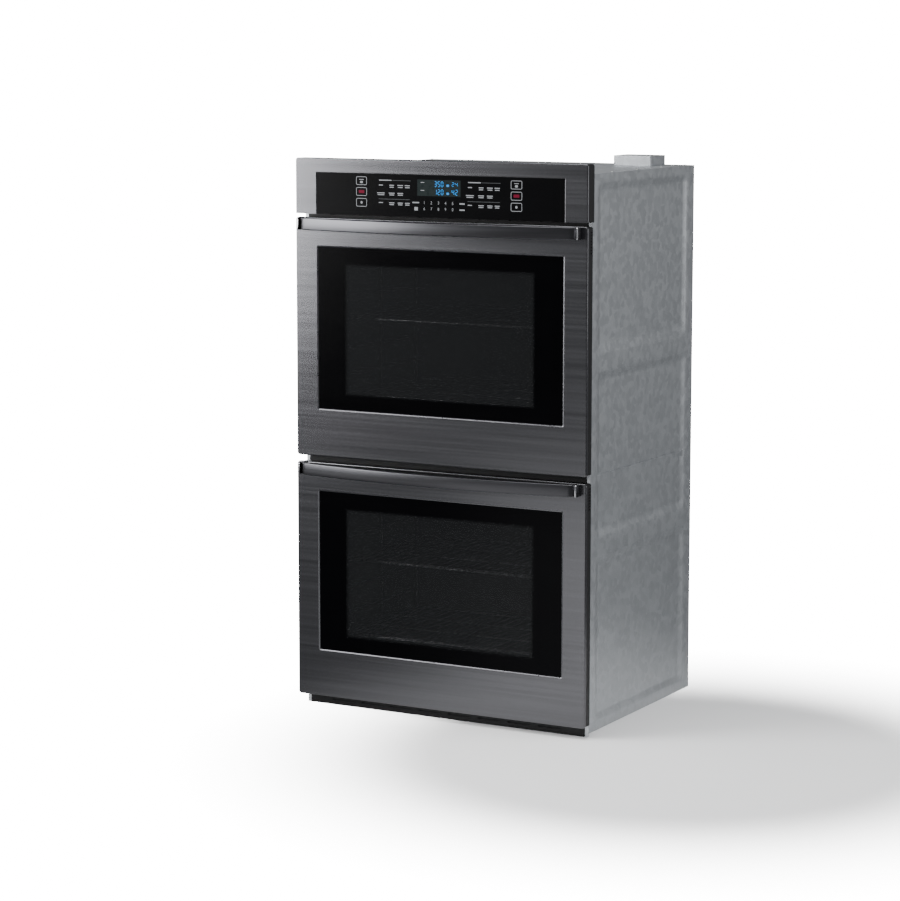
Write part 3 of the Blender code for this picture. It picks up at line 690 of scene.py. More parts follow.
@dataclass
class Door:
    """One drop-down door. Heights are above the door's lower edge."""

    level: Level
    corner: float = 0.007
    edge: float = 0.0025
    window_half: float = 0.321
    window: Pair = (0.110, 0.494)
    window_corner: float = 0.004
    bevel: float = 0.0024
    bevel_sheet: float = 0.0001
    clear_half: float = 0.250
    clear: Pair = (0.144, 0.457)
    vents: int = 8
    vent_pitch: float = 0.0066
    vent_height: float = 0.0036
    vent_drop: float = 0.010
    vent_depths: Pair = (0.0075, 0.0205)
    strip_stand: float = 0.0015
    strip_wall: float = 0.0013
    handle_reach: float = 0.018
    handle_turn: float = 0.012
    handle_foot: float = 0.0001
    handle_end: float = 0.0032
    handle_end_depth: float = 0.0205
    handle_end_corner: float = 0.0035
    handle_end_rounding: float = 0.0009
    handle_thickness: float = 0.012
    handle_rounding: float = 0.0022

    def __post_init__(self) -> None:
        """Reads the door's place from the frame."""
        self.name = self.level.value
        self.body = f"{self.name}_door"
        low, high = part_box(f"{self.name}_door_skin")
        self.half, self.base, self.top = high.x, low.z, high.z
        self.front, self.back = low.y, high.y

    def raised(self, rise: Pair) -> Pair:
        """Heights above the door's lower edge as heights above the floor."""
        return (self.base + rise[0], self.base + rise[1])

    def build(self) -> None:
        """Makes and fits every piece of the door."""
        self.build_skin()
        self.build_bevel()
        self.build_glass()
        self.build_side_vents()
        self.build_handle()
        dress(BLACK_PLASTIC, f"{self.name}_door_frame")
        dress(ENAMEL, f"{self.name}_door_pan")
        dress(ZINC_PLATE, f"{self.name}_hinge_bracket_left", f"{self.name}_hinge_bracket_right")

    def outline(self, inset: float) -> Array:
        """The door's outline drawn in by inset."""
        radius = max(self.corner - inset, 0.0005)
        return ring((inset - self.half, self.half - inset), (self.base + inset, self.top - inset), radius)

    def opening(self, grown: float) -> Array:
        """The window's outline let out by grown."""
        low, high = self.raised(self.window)
        half = self.window_half + grown
        return ring((-half, half), (low - grown, high + grown), self.window_corner + grown)

    def build_skin(self) -> None:
        """The pressed front: a side wall, a quarter-round edge, the flat face and the window's edge."""
        inset, depth = rounded_edge(self.edge)
        loops = [(self.outline(0.0), self.back)]
        loops += [(self.outline(i), self.front + d) for i, d in zip(inset, depth)]
        loops += [(self.outline(self.edge + 0.0003), self.front), (self.opening(0.0009), self.front)]
        for grown, back in ((0.0006, 0.0), (0.0002, 0.0001), (0.0, 0.0004)):
            loops.append((self.opening(grown), self.front + back))
        skin = Surface().add(stack(loops)).build(f"{self.name}_skin")
        fit(thicken(skin, SHEET), BLACK_STAINLESS, self.body, "black_stainless", f"{self.name}_door_skin")

    def build_bevel(self) -> None:
        """The bright sloping edge inside the window opening, down to the glass."""
        slope = ((0.0001, 0.00005), (-0.0003, 0.00005),
                 (-self.bevel, 0.00135), (-self.bevel - 0.0002, 0.0015))
        loops = [(self.opening(grown), self.front + depth) for grown, depth in slope]
        bevel = Surface().add(stack(loops)).build(f"{self.name}_window_bevel", 20)
        fit(thicken(bevel, self.bevel_sheet), CUT_BEVEL, self.body, "black_stainless")

    def build_glass(self) -> None:
        """Finishes for the two panes: painted border and clear middle outside, haze inside."""
        low, high = self.raised(self.clear)
        pane = WindowGlass(f"{self.name}_window_glass", "#020203", 0.20, 0.0, 0.035,
                           half=self.clear_half, low=low, high=high)
        dress(pane, f"{self.name}_outer_glass")
        dress(INNER_GLASS, f"{self.name}_inner_glass")

    def build_side_vents(self) -> None:
        """The plastic strip down each side, with a column of air slots near its top.

        Its face is a grid of heights by depths; a slot is a face left out of the grid.
        """
        low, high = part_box(f"{self.name}_door_frame")
        near, far = self.vent_depths
        depths = np.array([self.back + 0.0002, low.y + near, low.y + far, high.y - 0.0002])
        first = high.z - self.vent_drop - self.vent_pitch * np.arange(self.vents)
        heights = np.sort(np.concatenate(([low.z + 0.002, high.z - 0.002], first, first - self.vent_height)))
        keep = np.ones((len(heights) - 1, len(depths) - 1), bool)
        keep[1:-1:2, 1] = False
        for side in Side:
            tall, deep = np.meshgrid(heights, depths, indexing="ij")
            x = side.value * (high.x + self.strip_stand)
            grid = np.stack((np.full_like(tall, x), deep, tall), axis=-1)
            strip = Surface().add(grid, keep).build(f"{self.name}_side_vent_{side.name.lower()}")
            face_towards(strip, (side.value, 0.0, 0.0))
            fit(thicken(strip, self.strip_wall), BLACK_PLASTIC, self.body, "black_plastic")

    def reach(self, x: Array) -> Array:
        """How far the handle's front stands out: least at its ends, plus a parabola."""
        low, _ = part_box(f"{self.name}_handle")
        least, most = self.handle_reach, self.front - low.y
        return least + (most - least) * (1 - (x / self.half_handle) ** 2)

    def build_handle(self) -> None:
        """A flat bar bowed in plan. Its middle line runs out from the door, turns on a short
        curve of second degree, follows the bow and returns; a rounded bar section follows it."""
        low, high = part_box(f"{self.name}_handle")
        self.half_handle = high.x
        leg = self.half_handle - self.handle_end - self.handle_thickness / 2
        bow_x = np.linspace(-leg + self.handle_turn, leg - self.handle_turn, 41)
        bow = np.stack((bow_x, self.front + self.handle_thickness / 2 - self.reach(bow_x)), axis=1)
        t = np.linspace(0, 1, 7)[:-1, None]
        start = np.array((-leg, self.front - 0.003))
        knee = np.array((-leg, bow[0, 1] + 0.002))
        turn = (1 - t) ** 2 * start + 2 * t * (1 - t) * knee + t * t * bow[0]
        left = np.concatenate(([[-leg, self.front - self.handle_foot]], turn))
        plan = np.concatenate((left, bow, (left * (-1, 1))[::-1]))
        middle = (low.z + high.z) / 2
        path = np.column_stack((plan, np.full(len(plan), middle)))
        half_t, half_h = self.handle_thickness / 2, (high.z - low.z) / 2
        section = ring((-half_t, half_t), (-half_h, half_h), self.handle_rounding, 5)
        bar = Surface().add(capped(swept(path, section, UP))).build(f"{self.name}_handle_bar", 50)
        fit(bar, HANDLE_STEEL_PAINTED_SHADE, self.body, "black_stainless", f"{self.name}_handle")
        self.build_handle_ends()

    def build_handle_ends(self) -> None:
        """The bright end blocks: a rounded rectangle in Y and Z carried outwards along X, whose
        last edge is a quarter round."""
        low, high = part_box(f"{self.name}_handle")
        depth = (self.front - self.handle_end_depth, self.front - self.handle_foot)
        inset, drop = rounded_edge(self.handle_end_rounding, 3)
        rows = [(0.0, self.half_handle - self.handle_end)]
        rows += [(i, self.half_handle - d) for i, d in zip(inset, drop)]
        ends = Surface()
        for side in Side:
            grid = []
            for i, x in rows:
                loop = ring((depth[0] + i, depth[1] - i), (low.z + i, high.z - i), self.handle_end_corner)
                grid.append(np.column_stack((np.full(len(loop), side.value * x), loop)))
            ends.add(capped(np.array(grid)))
        fit(ends.build(f"{self.name}_handle_ends"), BRIGHT_EDGE, self.body, "black_stainless")


@dataclass
class OvenInterior:
    """One cavity and what is in it. Heights are above the lower edge of its door."""

    level: Level
    half: float = 0.300
    rises: Pair = (0.075, 0.505)
    lip: float = 0.004
    corner: float = 0.020
    rack_wires: int = 23
    rack_bars: Triple = (0.045, 0.35, 0.68)
    rack_corner: float = 0.014
    rack_bar: float = 0.0022
    border_wire: float = 0.0030
    rack_wire: float = 0.0016
    ladder_wire: float = 0.0022
    ladder_rises: tuple[float, ...] = (0.128, 0.188, 0.248, 0.309, 0.369, 0.429)
    ladder_ends: Pair = (0.022, 0.030)
    post_wire: float = 0.0014
    post_rises: Pair = (0.110, 0.452)
    seal_inset: float = 0.0063
    seal_half: float = 0.0060
    seal_corner: float = 0.028
    baffle_sheet: float = 0.0010

    def __post_init__(self) -> None:
        """Reads the cavity's place from the frame."""
        self.name = self.level.value
        low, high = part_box(f"{self.name}_cavity")
        self.face, self.back = low.y, high.y
        self.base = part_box(f"{self.name}_door_skin")[0].z
        self.floor, self.roof = self.base + self.rises[0], self.base + self.rises[1]

    def build(self) -> None:
        """Makes and fits every piece of the oven."""
        n = self.name
        self.build_liner()
        for place in ("high", "low"):
            self.build_rack(place)
        self.build_ladders()
        self.build_gasket()
        self.build_elements()
        self.build_baffle()
        low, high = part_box(f"{n}_lamp_lens")
        middle = tuple((low + high) / 2)
        dress(LampLens(f"{n}_pressed_lens", "#d8d4c6", 0.12, middle=middle), f"{n}_lamp_lens")
        dress(ENAMEL, f"{n}_cavity")
        dress(WOOL, f"{n}_insulation")
        dress(GALVANISED, f"{n}_fan_motor", f"{n}_fan_wheel")
        dress(ZINC_PLATE, f"{n}_hinge_arm_left", f"{n}_hinge_arm_right", f"{n}_latch_hook")

    def build_liner(self) -> None:
        """The smooth inside of the cavity, rolled outwards at its mouth over a quarter circle."""
        inset, depth = rounded_edge(self.lip)
        mouth = self.face - 0.0003
        loops = [(self.section(self.lip - i), mouth + self.lip - d) for i, d in zip(inset[::-1], depth[::-1])]
        depths = np.linspace(self.face + self.lip + 0.001, self.back - 0.0016, 6)
        loops += [(self.section(-0.0005), y) for y in depths]
        liner = Surface().add(stack(loops)).build(f"{self.name}_liner")
        fit(liner, ENAMEL, "chassis", "black_enamel")

    def section(self, grown: float) -> Array:
        """The cavity's mouth let out by grown."""
        half = self.half + grown
        return ring((-half, half), (self.floor - grown, self.roof + grown), self.corner + grown, 8)

    def build_rack(self, place: str) -> None:
        """A wire rack: a heavy border, three bars across it, and thin wires from front to back."""
        node = f"{self.name}_{place}_rack"
        low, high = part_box(node)
        z = (low.z + high.z) / 2
        r, thin = self.border_wire, self.rack_wire
        loop = ring((low.x + r, high.x - r), (low.y + r, high.y - r), self.rack_corner)
        rack = Surface().add(swept(np.column_stack((loop, np.full(len(loop), z))), circle(r, 12), UP))
        inner = (low.y + r, high.y - r)
        for share in self.rack_bars:
            y = inner[0] + share * (inner[1] - inner[0])
            rack.add(rod((low.x + r, y, z - 0.0008), (high.x - r, y, z - 0.0008), self.rack_bar, UP))
        for x in np.linspace(low.x, high.x, self.rack_wires + 2)[1:-1]:
            rack.add(rod((x, inner[0], z + 0.0014), (x, inner[1], z + 0.0014), thin, UP, 8))
        fit(rack.build(f"{node}_wires"), CHROME, node, "rack_chrome", node)

    def build_ladders(self) -> None:
        """The wire ladders on both side walls that carry the racks: level rails and two posts."""
        ladders = Surface()
        y = (self.face + self.ladder_ends[0], self.back - self.ladder_ends[1])
        for side in Side:
            x = side.value * (self.half - 0.0040)
            for rise in self.ladder_rises:
                z = self.base + rise
                ladders.add(rod((x, y[0], z), (x, y[1], z), self.ladder_wire, ACROSS))
            for post in (y[0] + 0.03, (y[0] + y[1]) / 2, y[1] - 0.03):
                x_post = side.value * (self.half - 0.0020)
                ends = [(x_post, post, self.base + rise) for rise in self.post_rises]
                ladders.add(rod(*ends, self.post_wire, ACROSS))
        fit(ladders.build(f"{self.name}_rack_ladders"), CHROME, "chassis", "rack_chrome")

    def build_gasket(self) -> None:
        """The braided seal: an oval section carried round the mouth."""
        low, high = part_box(f"{self.name}_gasket")
        half = high.x - self.seal_inset
        loop = ring((-half, half), (low.z + self.seal_inset, high.z - self.seal_inset), self.seal_corner, 10)
        path = np.stack((loop[:, 0], np.full(len(loop), (low.y + high.y) / 2), loop[:, 1]), axis=1)
        section = circle(1.0, 16) * (self.seal_half, (high.y - low.y) / 2)
        seal = Surface().add(swept(path, section, BACK)).build(f"{self.name}_door_seal", 60)
        fit(seal, BRAID, "chassis", "seal_braid", f"{self.name}_gasket")

    def build_elements(self) -> None:
        """Finishes for the two heating elements, whose bent sheaths keep their shape."""
        dress(SHEATH, f"{self.name}_bake_element", f"{self.name}_broil_element")

    def build_baffle(self) -> None:
        """The fan cover: a dished plate with rings of slots.

        Rows run outwards from the middle to a rounded rectangle, columns run round it. The
        plate stands forward of the wall by a depth that eases to nothing at its rim.
        """
        low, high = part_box(f"{self.name}_fan_baffle")
        middle = ((low.x + high.x) / 2, (low.z + high.z) / 2)
        half = ((high.x - low.x) / 2, (high.z - low.z) / 2)
        columns = 96
        angle = np.linspace(0, 2 * math.pi, columns + 1)
        square = 1 / (np.abs(np.cos(angle)) ** 8 + np.abs(np.sin(angle)) ** 8) ** (1 / 8)
        slots = (0.22, 0.30, 0.36, 0.44, 0.50, 0.58)
        shares = np.array((0.0, 0.08, 0.16, *slots, 0.64, 0.72, 0.80, 0.86, 0.90, 0.95, 1.0))
        blend = eased(shares, 0.55, 0.9)[:, None]
        reach = shares[:, None] * (1 - blend + blend * square)
        x = middle[0] + half[0] * reach * np.cos(angle)
        z = middle[1] + half[1] * reach * np.sin(angle)
        y = low.y + (high.y - low.y - 0.0015) * eased(shares, 0.80, 0.97)[:, None] + np.zeros_like(x)
        keep = np.ones((len(shares) - 1, columns), bool)
        keep[3:9:2] = (np.arange(columns) % 8) >= 5
        plate = Surface().add(np.stack((x, y, z), axis=-1), keep).build(f"{self.name}_fan_cover", 40)
        fit(thicken(plate, self.baffle_sheet), ENAMEL, "chassis", "black_enamel", f"{self.name}_fan_baffle")


@dataclass
class ControlPanel:
    """The steel surround, the touch glass and everything printed or lit on it."""

    corner: float = 0.006
    edge: float = 0.0025
    steel_return: float = 0.0065
    step: float = 0.0004
    shell: float = 0.0006
    opening_half: float = 0.322
    opening_top: float = 1.264
    key_x: float = 0.2005
    key_rows: tuple[float, ...] = (1.2471, 1.2223, 1.1975)
    key_size: Pair = (0.0285, 0.0195)
    stroke: float = 0.0013
    display_x: Pair = (-0.0535, 0.0585)
    display_z: Pair = (1.2165, 1.2535)
    digit_columns: tuple[float, ...] = (-0.0353, -0.0169, 0.0015, 0.0198, 0.0381)
    digit_rows: tuple[float, ...] = (1.2010, 1.1870)

    def __post_init__(self) -> None:
        """Reads the panel's place from the frame."""
        low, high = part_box("control_frame")
        self.half, self.front, self.back, self.bottom, self.top = high.x, low.y, high.y, low.z, high.z
        self.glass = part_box("control_glass")[0].y

    def build(self) -> None:
        """Makes and fits every piece of the panel."""
        self.build_surround()
        self.build_keys()
        self.build_print()
        self.build_display()
        self.build_keypad()
        dress(PANEL_GLASS, "control_glass")
        dress(BLACK_PLASTIC, "control_housing")
        dress(BOARD, "control_board")

    def outline(self, inset: float) -> Array:
        """The panel's outline drawn in by inset, except at its foot."""
        radius = max(self.corner - inset, 0.0006)
        return arch(self.half - inset, (self.bottom, self.top - inset), radius)

    def build_surround(self) -> None:
        """The folded steel arch round the glass: side wall, quarter-round edge, face and inner edge."""
        inset, depth = rounded_edge(self.edge)
        bottom = self.bottom
        loops = [(self.outline(0.0), self.front + self.steel_return)]
        loops += [(self.outline(i), self.front + d) for i, d in zip(inset, depth)]
        loops.append((self.outline(self.edge + 0.0003), self.front))
        for grown, d in ((0.0009, 0.0), (0.0006, 0.0), (0.0002, 0.0001), (0.0, 0.0004), (0.0, SHEET)):
            shape = arch(self.opening_half + grown, (bottom, self.opening_top + grown), 0.001 + grown)
            loops.append((shape, self.front + d))
        surround = Surface().add(stack(loops)).build("panel_surround")
        fit(thicken(surround, SHEET), BLACK_STAINLESS, "chassis", "black_stainless", "control_frame")
        self.build_side_shell()

    def build_side_shell(self) -> None:
        """The black moulded arch behind the steel: its sides and top, a little inside the steel's edge."""
        half, top = self.half - self.step, self.top - self.step
        start = self.front + self.steel_return + 0.0002
        loops = [(arch(half - 0.0008, (self.bottom, top - 0.0008), self.corner), start)]
        loops += [(arch(half, (self.bottom, top), self.corner), y) for y in (start + 0.0008, self.back)]
        shell = Surface().add(stack(loops)).build("panel_side_shell")
        fit(thicken(shell, self.shell), BLACK_PLASTIC, "chassis", "black_plastic")

    def mark(self, surface: Surface, x: float, z: float, width: float, height: float,
             radius: float = 0.0003) -> None:
        """Adds a small flat bar with rounded ends, centred at X and Z, to a surface."""
        loop = ring((x - width / 2, x + width / 2), (z - height / 2, z + height / 2), radius, 2)
        surface.tablet(loop, self.glass, self.glass - INK)

    def frame_mark(self, surface: Surface, x: float, z: float, width: float, height: float) -> None:
        """Adds the outline of a rounded rectangle, as wide as the stroke."""
        outer = ring((x - width / 2, x + width / 2), (z - height / 2, z + height / 2), 0.0038)
        w, h = width / 2 - self.stroke, height / 2 - self.stroke
        inner = ring((x - w, x + w), (z - h, z + h), 0.0024)
        back, front = self.glass, self.glass - INK
        surface.add(stack([(outer, back), (outer, front), (inner, front), (inner, back)]))

    def build_keys(self) -> None:
        """Two columns of three touch keys: outlines, a red light in the middle ones, and icons."""
        outlines, lights, icons = Surface(), Surface(), Surface()
        for side in Side:
            x = side.value * self.key_x
            for row, z in enumerate(self.key_rows):
                self.frame_mark(outlines, x, z, *self.key_size)
                if row == 1:
                    self.mark(lights, x, z, 0.0150, 0.0070, 0.0015)
                elif row == 0:
                    self.mark(icons, x, z - 0.0030, 0.0075, 0.0052, 0.0018)
                    self.mark(icons, x, z + 0.0030, 0.0120, 0.0014)
                else:
                    self.mark(icons, x, z, 0.0055, 0.0062, 0.0024)
        fit(outlines.build("touch_key_outlines"), WHITE_INK_PAINTED_GLOW, "chassis", "control_glass")
        fit(lights.build("touch_key_lights"), RED_LIGHT, "chassis", "control_glass")
        fit(icons.build("touch_key_icons"), WHITE_INK_PAINTED_GLOW, "chassis", "control_glass")

    def build_print(self) -> None:
        """Two blocks of plain bars where the function labels are, with a rule over and under them."""
        bars, rules = Surface(), Surface()
        columns = np.array([0.0050, 0.0335, 0.0560, 0.0745])
        for left in (-0.1540, 0.0775):
            self.mark(bars, left + 0.0165, 1.2497, 0.0330, 0.0022)
            self.mark(rules, left + 0.0590, 1.2497, 0.0480, 0.0010)
            self.mark(rules, left + 0.0400, 1.2068, 0.0830, 0.0010)
            rows = (((1.2385, 1.2340), (0.0105, 0.0125, 0.0145, 0.0135)),
                    ((1.2205, 1.2165), (0.0200, 0.0150, 0.0150)),
                    ((1.1985, 1.1945), (0.0110, 0.0140, 0.0135, 0.0125)))
            for lines, widths in rows:
                for column, width in zip(columns, widths):
                    for count, z in enumerate(lines):
                        if column == columns[0] and count and width < 0.015:
                            continue
                        self.mark(bars, left + column, z, width * (0.86 if count else 1.0), 0.0021)
        fit(bars.build("label_bars"), WHITE_INK_PAINTED_GLOW, "chassis", "control_glass")
        fit(rules.build("label_rules"), GREY_INK_PAINTED_GLOW, "chassis", "control_glass")

    def seven(self, surface: Surface, digit: int, x: float, z: float, width: float, height: float) -> None:
        """Adds a seven-segment digit: top, two upper sides, middle, two lower sides and bottom."""
        lit = ("1110111", "0010010", "1011101", "1011011", "0111010",
               "1101011", "1101111", "1010010", "1111111", "1111011")[digit]
        bar, half, tall = 0.14 * height, width / 2, height / 2
        places = ((0, tall), (-half, tall / 2), (half, tall / 2), (0, 0),
                  (-half, -tall / 2), (half, -tall / 2), (0, -tall))
        for on, (across, up) in zip(lit, places):
            if on == "1":
                level = across == 0
                size = (width - bar, bar) if level else (bar, tall - bar)
                self.mark(surface, x + across, z + up, *size, 0.0002)

    def build_display(self) -> None:
        """The smoked display window with two rows of blue digits and two small labels."""
        window = Surface()
        loop = ring(self.display_x, self.display_z, 0.0008, 3)
        window.tablet(loop, self.glass, self.glass - 0.5 * INK)
        fit(window.build("display_window"), DISPLAY, "chassis", "control_glass")
        digits, labels = Surface(), Surface()
        top, low = 1.2440, 1.2260
        for row, (z, numbers) in enumerate(((top, (3, 5, 0)), (low, (1, 2, 0)))):
            for place, number in enumerate(numbers):
                self.seven(digits, number, -0.0060 + 0.0085 * place, z, 0.0050, 0.0115)
            for place in range(2):
                height = 0.0085 + 0.003 * row
                self.seven(digits, (2, 4)[place - row], 0.0390 + 0.0090 * place, z, 0.0052, height)
            self.mark(digits, 0.0255, z - 0.003, 0.0065, 0.0050, 0.0010)
            self.mark(labels, -0.0400, z + 0.003, 0.0095, 0.0016)
        fit(digits.build("display_digits"), BLUE_LIGHT, "chassis", "control_glass")
        fit(labels.build("display_labels"), WHITE_INK_PAINTED_GLOW, "chassis", "control_glass")

    def build_keypad(self) -> None:
        """Ten printed digits in two rows, with plain bars and a square either side of them."""
        digits = Surface()
        for row, z in enumerate(self.digit_rows):
            for column, x in enumerate(self.digit_columns):
                self.type_digit(digits, str((row * 5 + column + 1) % 10), x, z)
        self.mark(digits, -0.0575, self.digit_rows[0], 0.0180, 0.0028)
        self.mark(digits, -0.0565, self.digit_rows[1], 0.0090, 0.0078, 0.0008)
        self.mark(digits, 0.0625, self.digit_rows[0], 0.0135, 0.0030)
        self.mark(digits, 0.0625, self.digit_rows[1], 0.0135, 0.0030)
        fit(digits.build("keypad_digits"), WHITE_INK_PAINTED_GLOW, "chassis", "control_glass")

    def type_digit(self, surface: Surface, text: str, x: float, z: float, size: float = 0.0095) -> None:
        """Adds one digit of plain type: its flat mesh is stood up to face the front, so its
        X, Y and Z become X, Z and -Y."""
        curve = bpy.data.curves.new("digit", "FONT")
        curve.body = text
        curve.size = size
        curve.align_x = "CENTER"
        curve.align_y = "CENTER"
        curve.extrude = INK / 2
        curve.resolution_u = 3
        holder = bpy.data.objects.new("digit", curve)
        bpy.context.scene.collection.objects.link(holder)
        graph = bpy.context.evaluated_depsgraph_get()
        mesh = bpy.data.meshes.new_from_object(holder.evaluated_get(graph))
        bpy.data.objects.remove(holder)
        mesh.calc_loop_triangles()
        flat = np.zeros(len(mesh.vertices) * 3, np.float32)
        mesh.vertices.foreach_get("co", flat)
        corners = np.zeros(len(mesh.loop_triangles) * 3, np.int32)
        mesh.loop_triangles.foreach_get("vertices", corners)
        flat = flat.reshape(-1, 3)
        stood = np.stack((flat[:, 0] + x, self.glass - INK / 2 - flat[:, 2], flat[:, 1] + z), axis=1)
        surface.add_faces(stood, corners.reshape(-1, 3))


@dataclass
class Casing:
    """The folded steel body, the trims, the blower and the wiring box."""

    field_depth: float = 0.004
    flange: float = 0.014
    louvre_pitch: float = 0.016
    louvre_depth: float = 0.005
    louvre_columns: Triple = (-0.19, 0.0, 0.19)
    louvre_rows: Pair = (0.070, 0.640)
    baffle_sheet: float = 0.0003
    screw_radius: float = 0.0042
    screw_dome: float = 0.0016
    screw_recess: float = 0.0009
    flange_screw_x: float = 0.366
    flange_screws: Triple = (0.10, 0.64, 1.20)
    edge_screw_inset: float = 0.012

    def build(self) -> None:
        """Makes and fits every piece of the casing."""
        for side in Side:
            self.build_side(side)
        self.build_rear()
        self.build_screws()
        self.build_slot_shade_sheets()
        dress(GALVANISED, "base_tray", "top_cover", "middle_shelf", "blower_housing", "junction_box")
        dress(BLACK_PAINT, "bottom_trim", "middle_trim", "vent_trim")
        dress(BLACK_PLASTIC, "blower_wheel")

    def build_side(self, side: Side) -> None:
        """A side panel: the fold of its flange carried up its height, with three shallow
        pressed fields. A field is a step inwards that eases over 8 mm at all four edges."""
        name = side.name.lower()
        low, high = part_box(f"side_panel_{name}")
        outer = max(abs(low.x), abs(high.x))
        wall = outer - self.flange
        depths = np.concatenate((
            [low.y + 0.0012, low.y + 0.0012, low.y + 0.0018, low.y + 0.004],
            np.linspace(low.y + 0.020, high.y - 0.001, 64),
        ))
        across = np.full(len(depths), wall)
        across[:3] = (outer, wall + 0.0008, wall)
        heights = np.linspace(low.z, high.z, 150)
        deep, tall = np.meshgrid(depths, heights, indexing="ij")
        third = (high.z - low.z) / 3
        place = np.abs((tall - low.z) % third - third / 2)
        middle = (low.y + high.y) / 2 + 0.01
        field = 1 - eased(place, third / 2 - 0.034, third / 2 - 0.026)
        field = field * (1 - eased(np.abs(deep - middle), 0.232, 0.240))
        x = side.value * (across[:, None] - self.field_depth * field)
        panel = Surface().add(np.stack((x, deep, tall), axis=-1)).build(f"casing_side_{name}", 40)
        face_towards(panel, (side.value, 0.0, 0.0))
        fit(thicken(panel, SHEET), GALVANISED, "chassis", "galvanised_steel", f"side_panel_{name}")

    def build_rear(self) -> None:
        """The rear panel: flat, with two rows of louvres pressed inwards. A louvre's depth is
        an even swell along X times a saw-tooth in Z that opens downwards."""
        low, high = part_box("rear_panel")
        x = np.linspace(low.x, high.x, 161)
        z = np.linspace(low.z, high.z, 321)
        across, tall = np.meshgrid(x, z, indexing="ij")
        depth = np.zeros_like(across)
        for start in self.louvre_rows:
            rows = (tall - (low.z + start)) / self.louvre_pitch
            inside = (rows > 0) & (rows < 9)
            tooth = np.clip(1.25 * (rows % 1), 0, 1)
            for centre in self.louvre_columns:
                swell = 1 - eased(np.abs(across - centre), 0.058, 0.070)
                depth += np.where(inside, swell * self.louvre_depth * tooth * (rows % 1 < 0.8), 0.0)
        y = high.y - depth
        panel = Surface().add(np.stack((across, y, tall), axis=-1)).build("casing_rear", 40)
        face_towards(panel, BACK)
        fit(thicken(panel, SHEET), GALVANISED, "chassis", "galvanised_steel", "rear_panel")

    def build_slot_shade_sheets(self) -> None:
        """A black sheet behind each slotted trim, painted shade that stands in for the dark inside of the
        slots: a strip folded over at its upper and lower edges.
        """
        for name in ("bottom_trim", "vent_trim"):
            low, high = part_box(name)
            front, back, half = high.y + 0.0010, high.y + 0.0022, high.x - 0.0075
            fold = ((front, low.z + 0.0015), (back, low.z + 0.0030),
                    (back, high.z - 0.0030), (front, high.z - 0.0015))
            rows = [[(x, y, z) for y, z in fold] for x in (-half, half)]
            # Painted shade: the sheet is black so that the slots read dark.
            shade_sheet = Surface().add(np.array(rows)).build(f"{name}_baffle")
            face_towards(shade_sheet, (0.0, -1.0, 0.0))
            fit(thicken(shade_sheet, self.baffle_sheet), BLACK_PAINT, "chassis", "black_paint")

    def screw(self, surface: Surface, centre: Triple, outwards: tuple[int, float]) -> None:
        """Adds a domed screw head with a cross recess.

        Rows run out from the middle, columns run round. Its height is a dome, less a recess
        where a point is near one of the two arms of the cross.

        Args:
            surface: what the head is added to.
            centre: the middle of the head's foot.
            outwards: the number of the axis that the head stands along, and its sign.
        """
        axis, sign = outwards
        share = np.linspace(0, 1, 9)[:, None]
        angle = np.linspace(0, 2 * math.pi, 33)
        a = share * self.screw_radius * np.cos(angle)
        b = share * self.screw_radius * np.sin(angle)
        arm = 1 - eased(np.minimum(np.abs(a), np.abs(b)), 0.0003, 0.0008)
        recess = self.screw_recess * arm * (1 - eased(share, 0.55, 0.72))
        dome = self.screw_dome * np.sqrt(np.clip(1 - (0.98 * share) ** 4, 0, 1))
        height = dome + 0.0004 * (1 - share) - recess
        parts = [a, b]
        parts.insert(axis, sign * height)
        grid = np.stack([np.broadcast_to(p, a.shape) for p in parts], axis=-1) + np.array(centre)
        surface.add(grid)

    def build_screws(self) -> None:
        """Screws through both flanges, and round the edges of the top cover and the rear panel."""
        screws = Surface()
        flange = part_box("side_panel_right")[0].y + 0.0002
        for side in Side:
            for z in self.flange_screws:
                self.screw(screws, (side.value * self.flange_screw_x, flange, z), (1, -1.0))
        low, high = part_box("rear_panel")
        for z in np.linspace(low.z + 0.02, high.z - 0.02, 6):
            for side in Side:
                self.screw(screws, (side.value * (high.x - self.edge_screw_inset), high.y, z), (1, 1.0))
        low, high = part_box("top_cover")
        for y in np.linspace(low.y + 0.025, high.y - 0.025, 5):
            for side in Side:
                self.screw(screws, (side.value * (high.x - self.edge_screw_inset), y, high.z), (2, 1.0))
        fit(screws.build("casing_screws", 50), ZINC_PLATE, "chassis", "galvanised_steel")


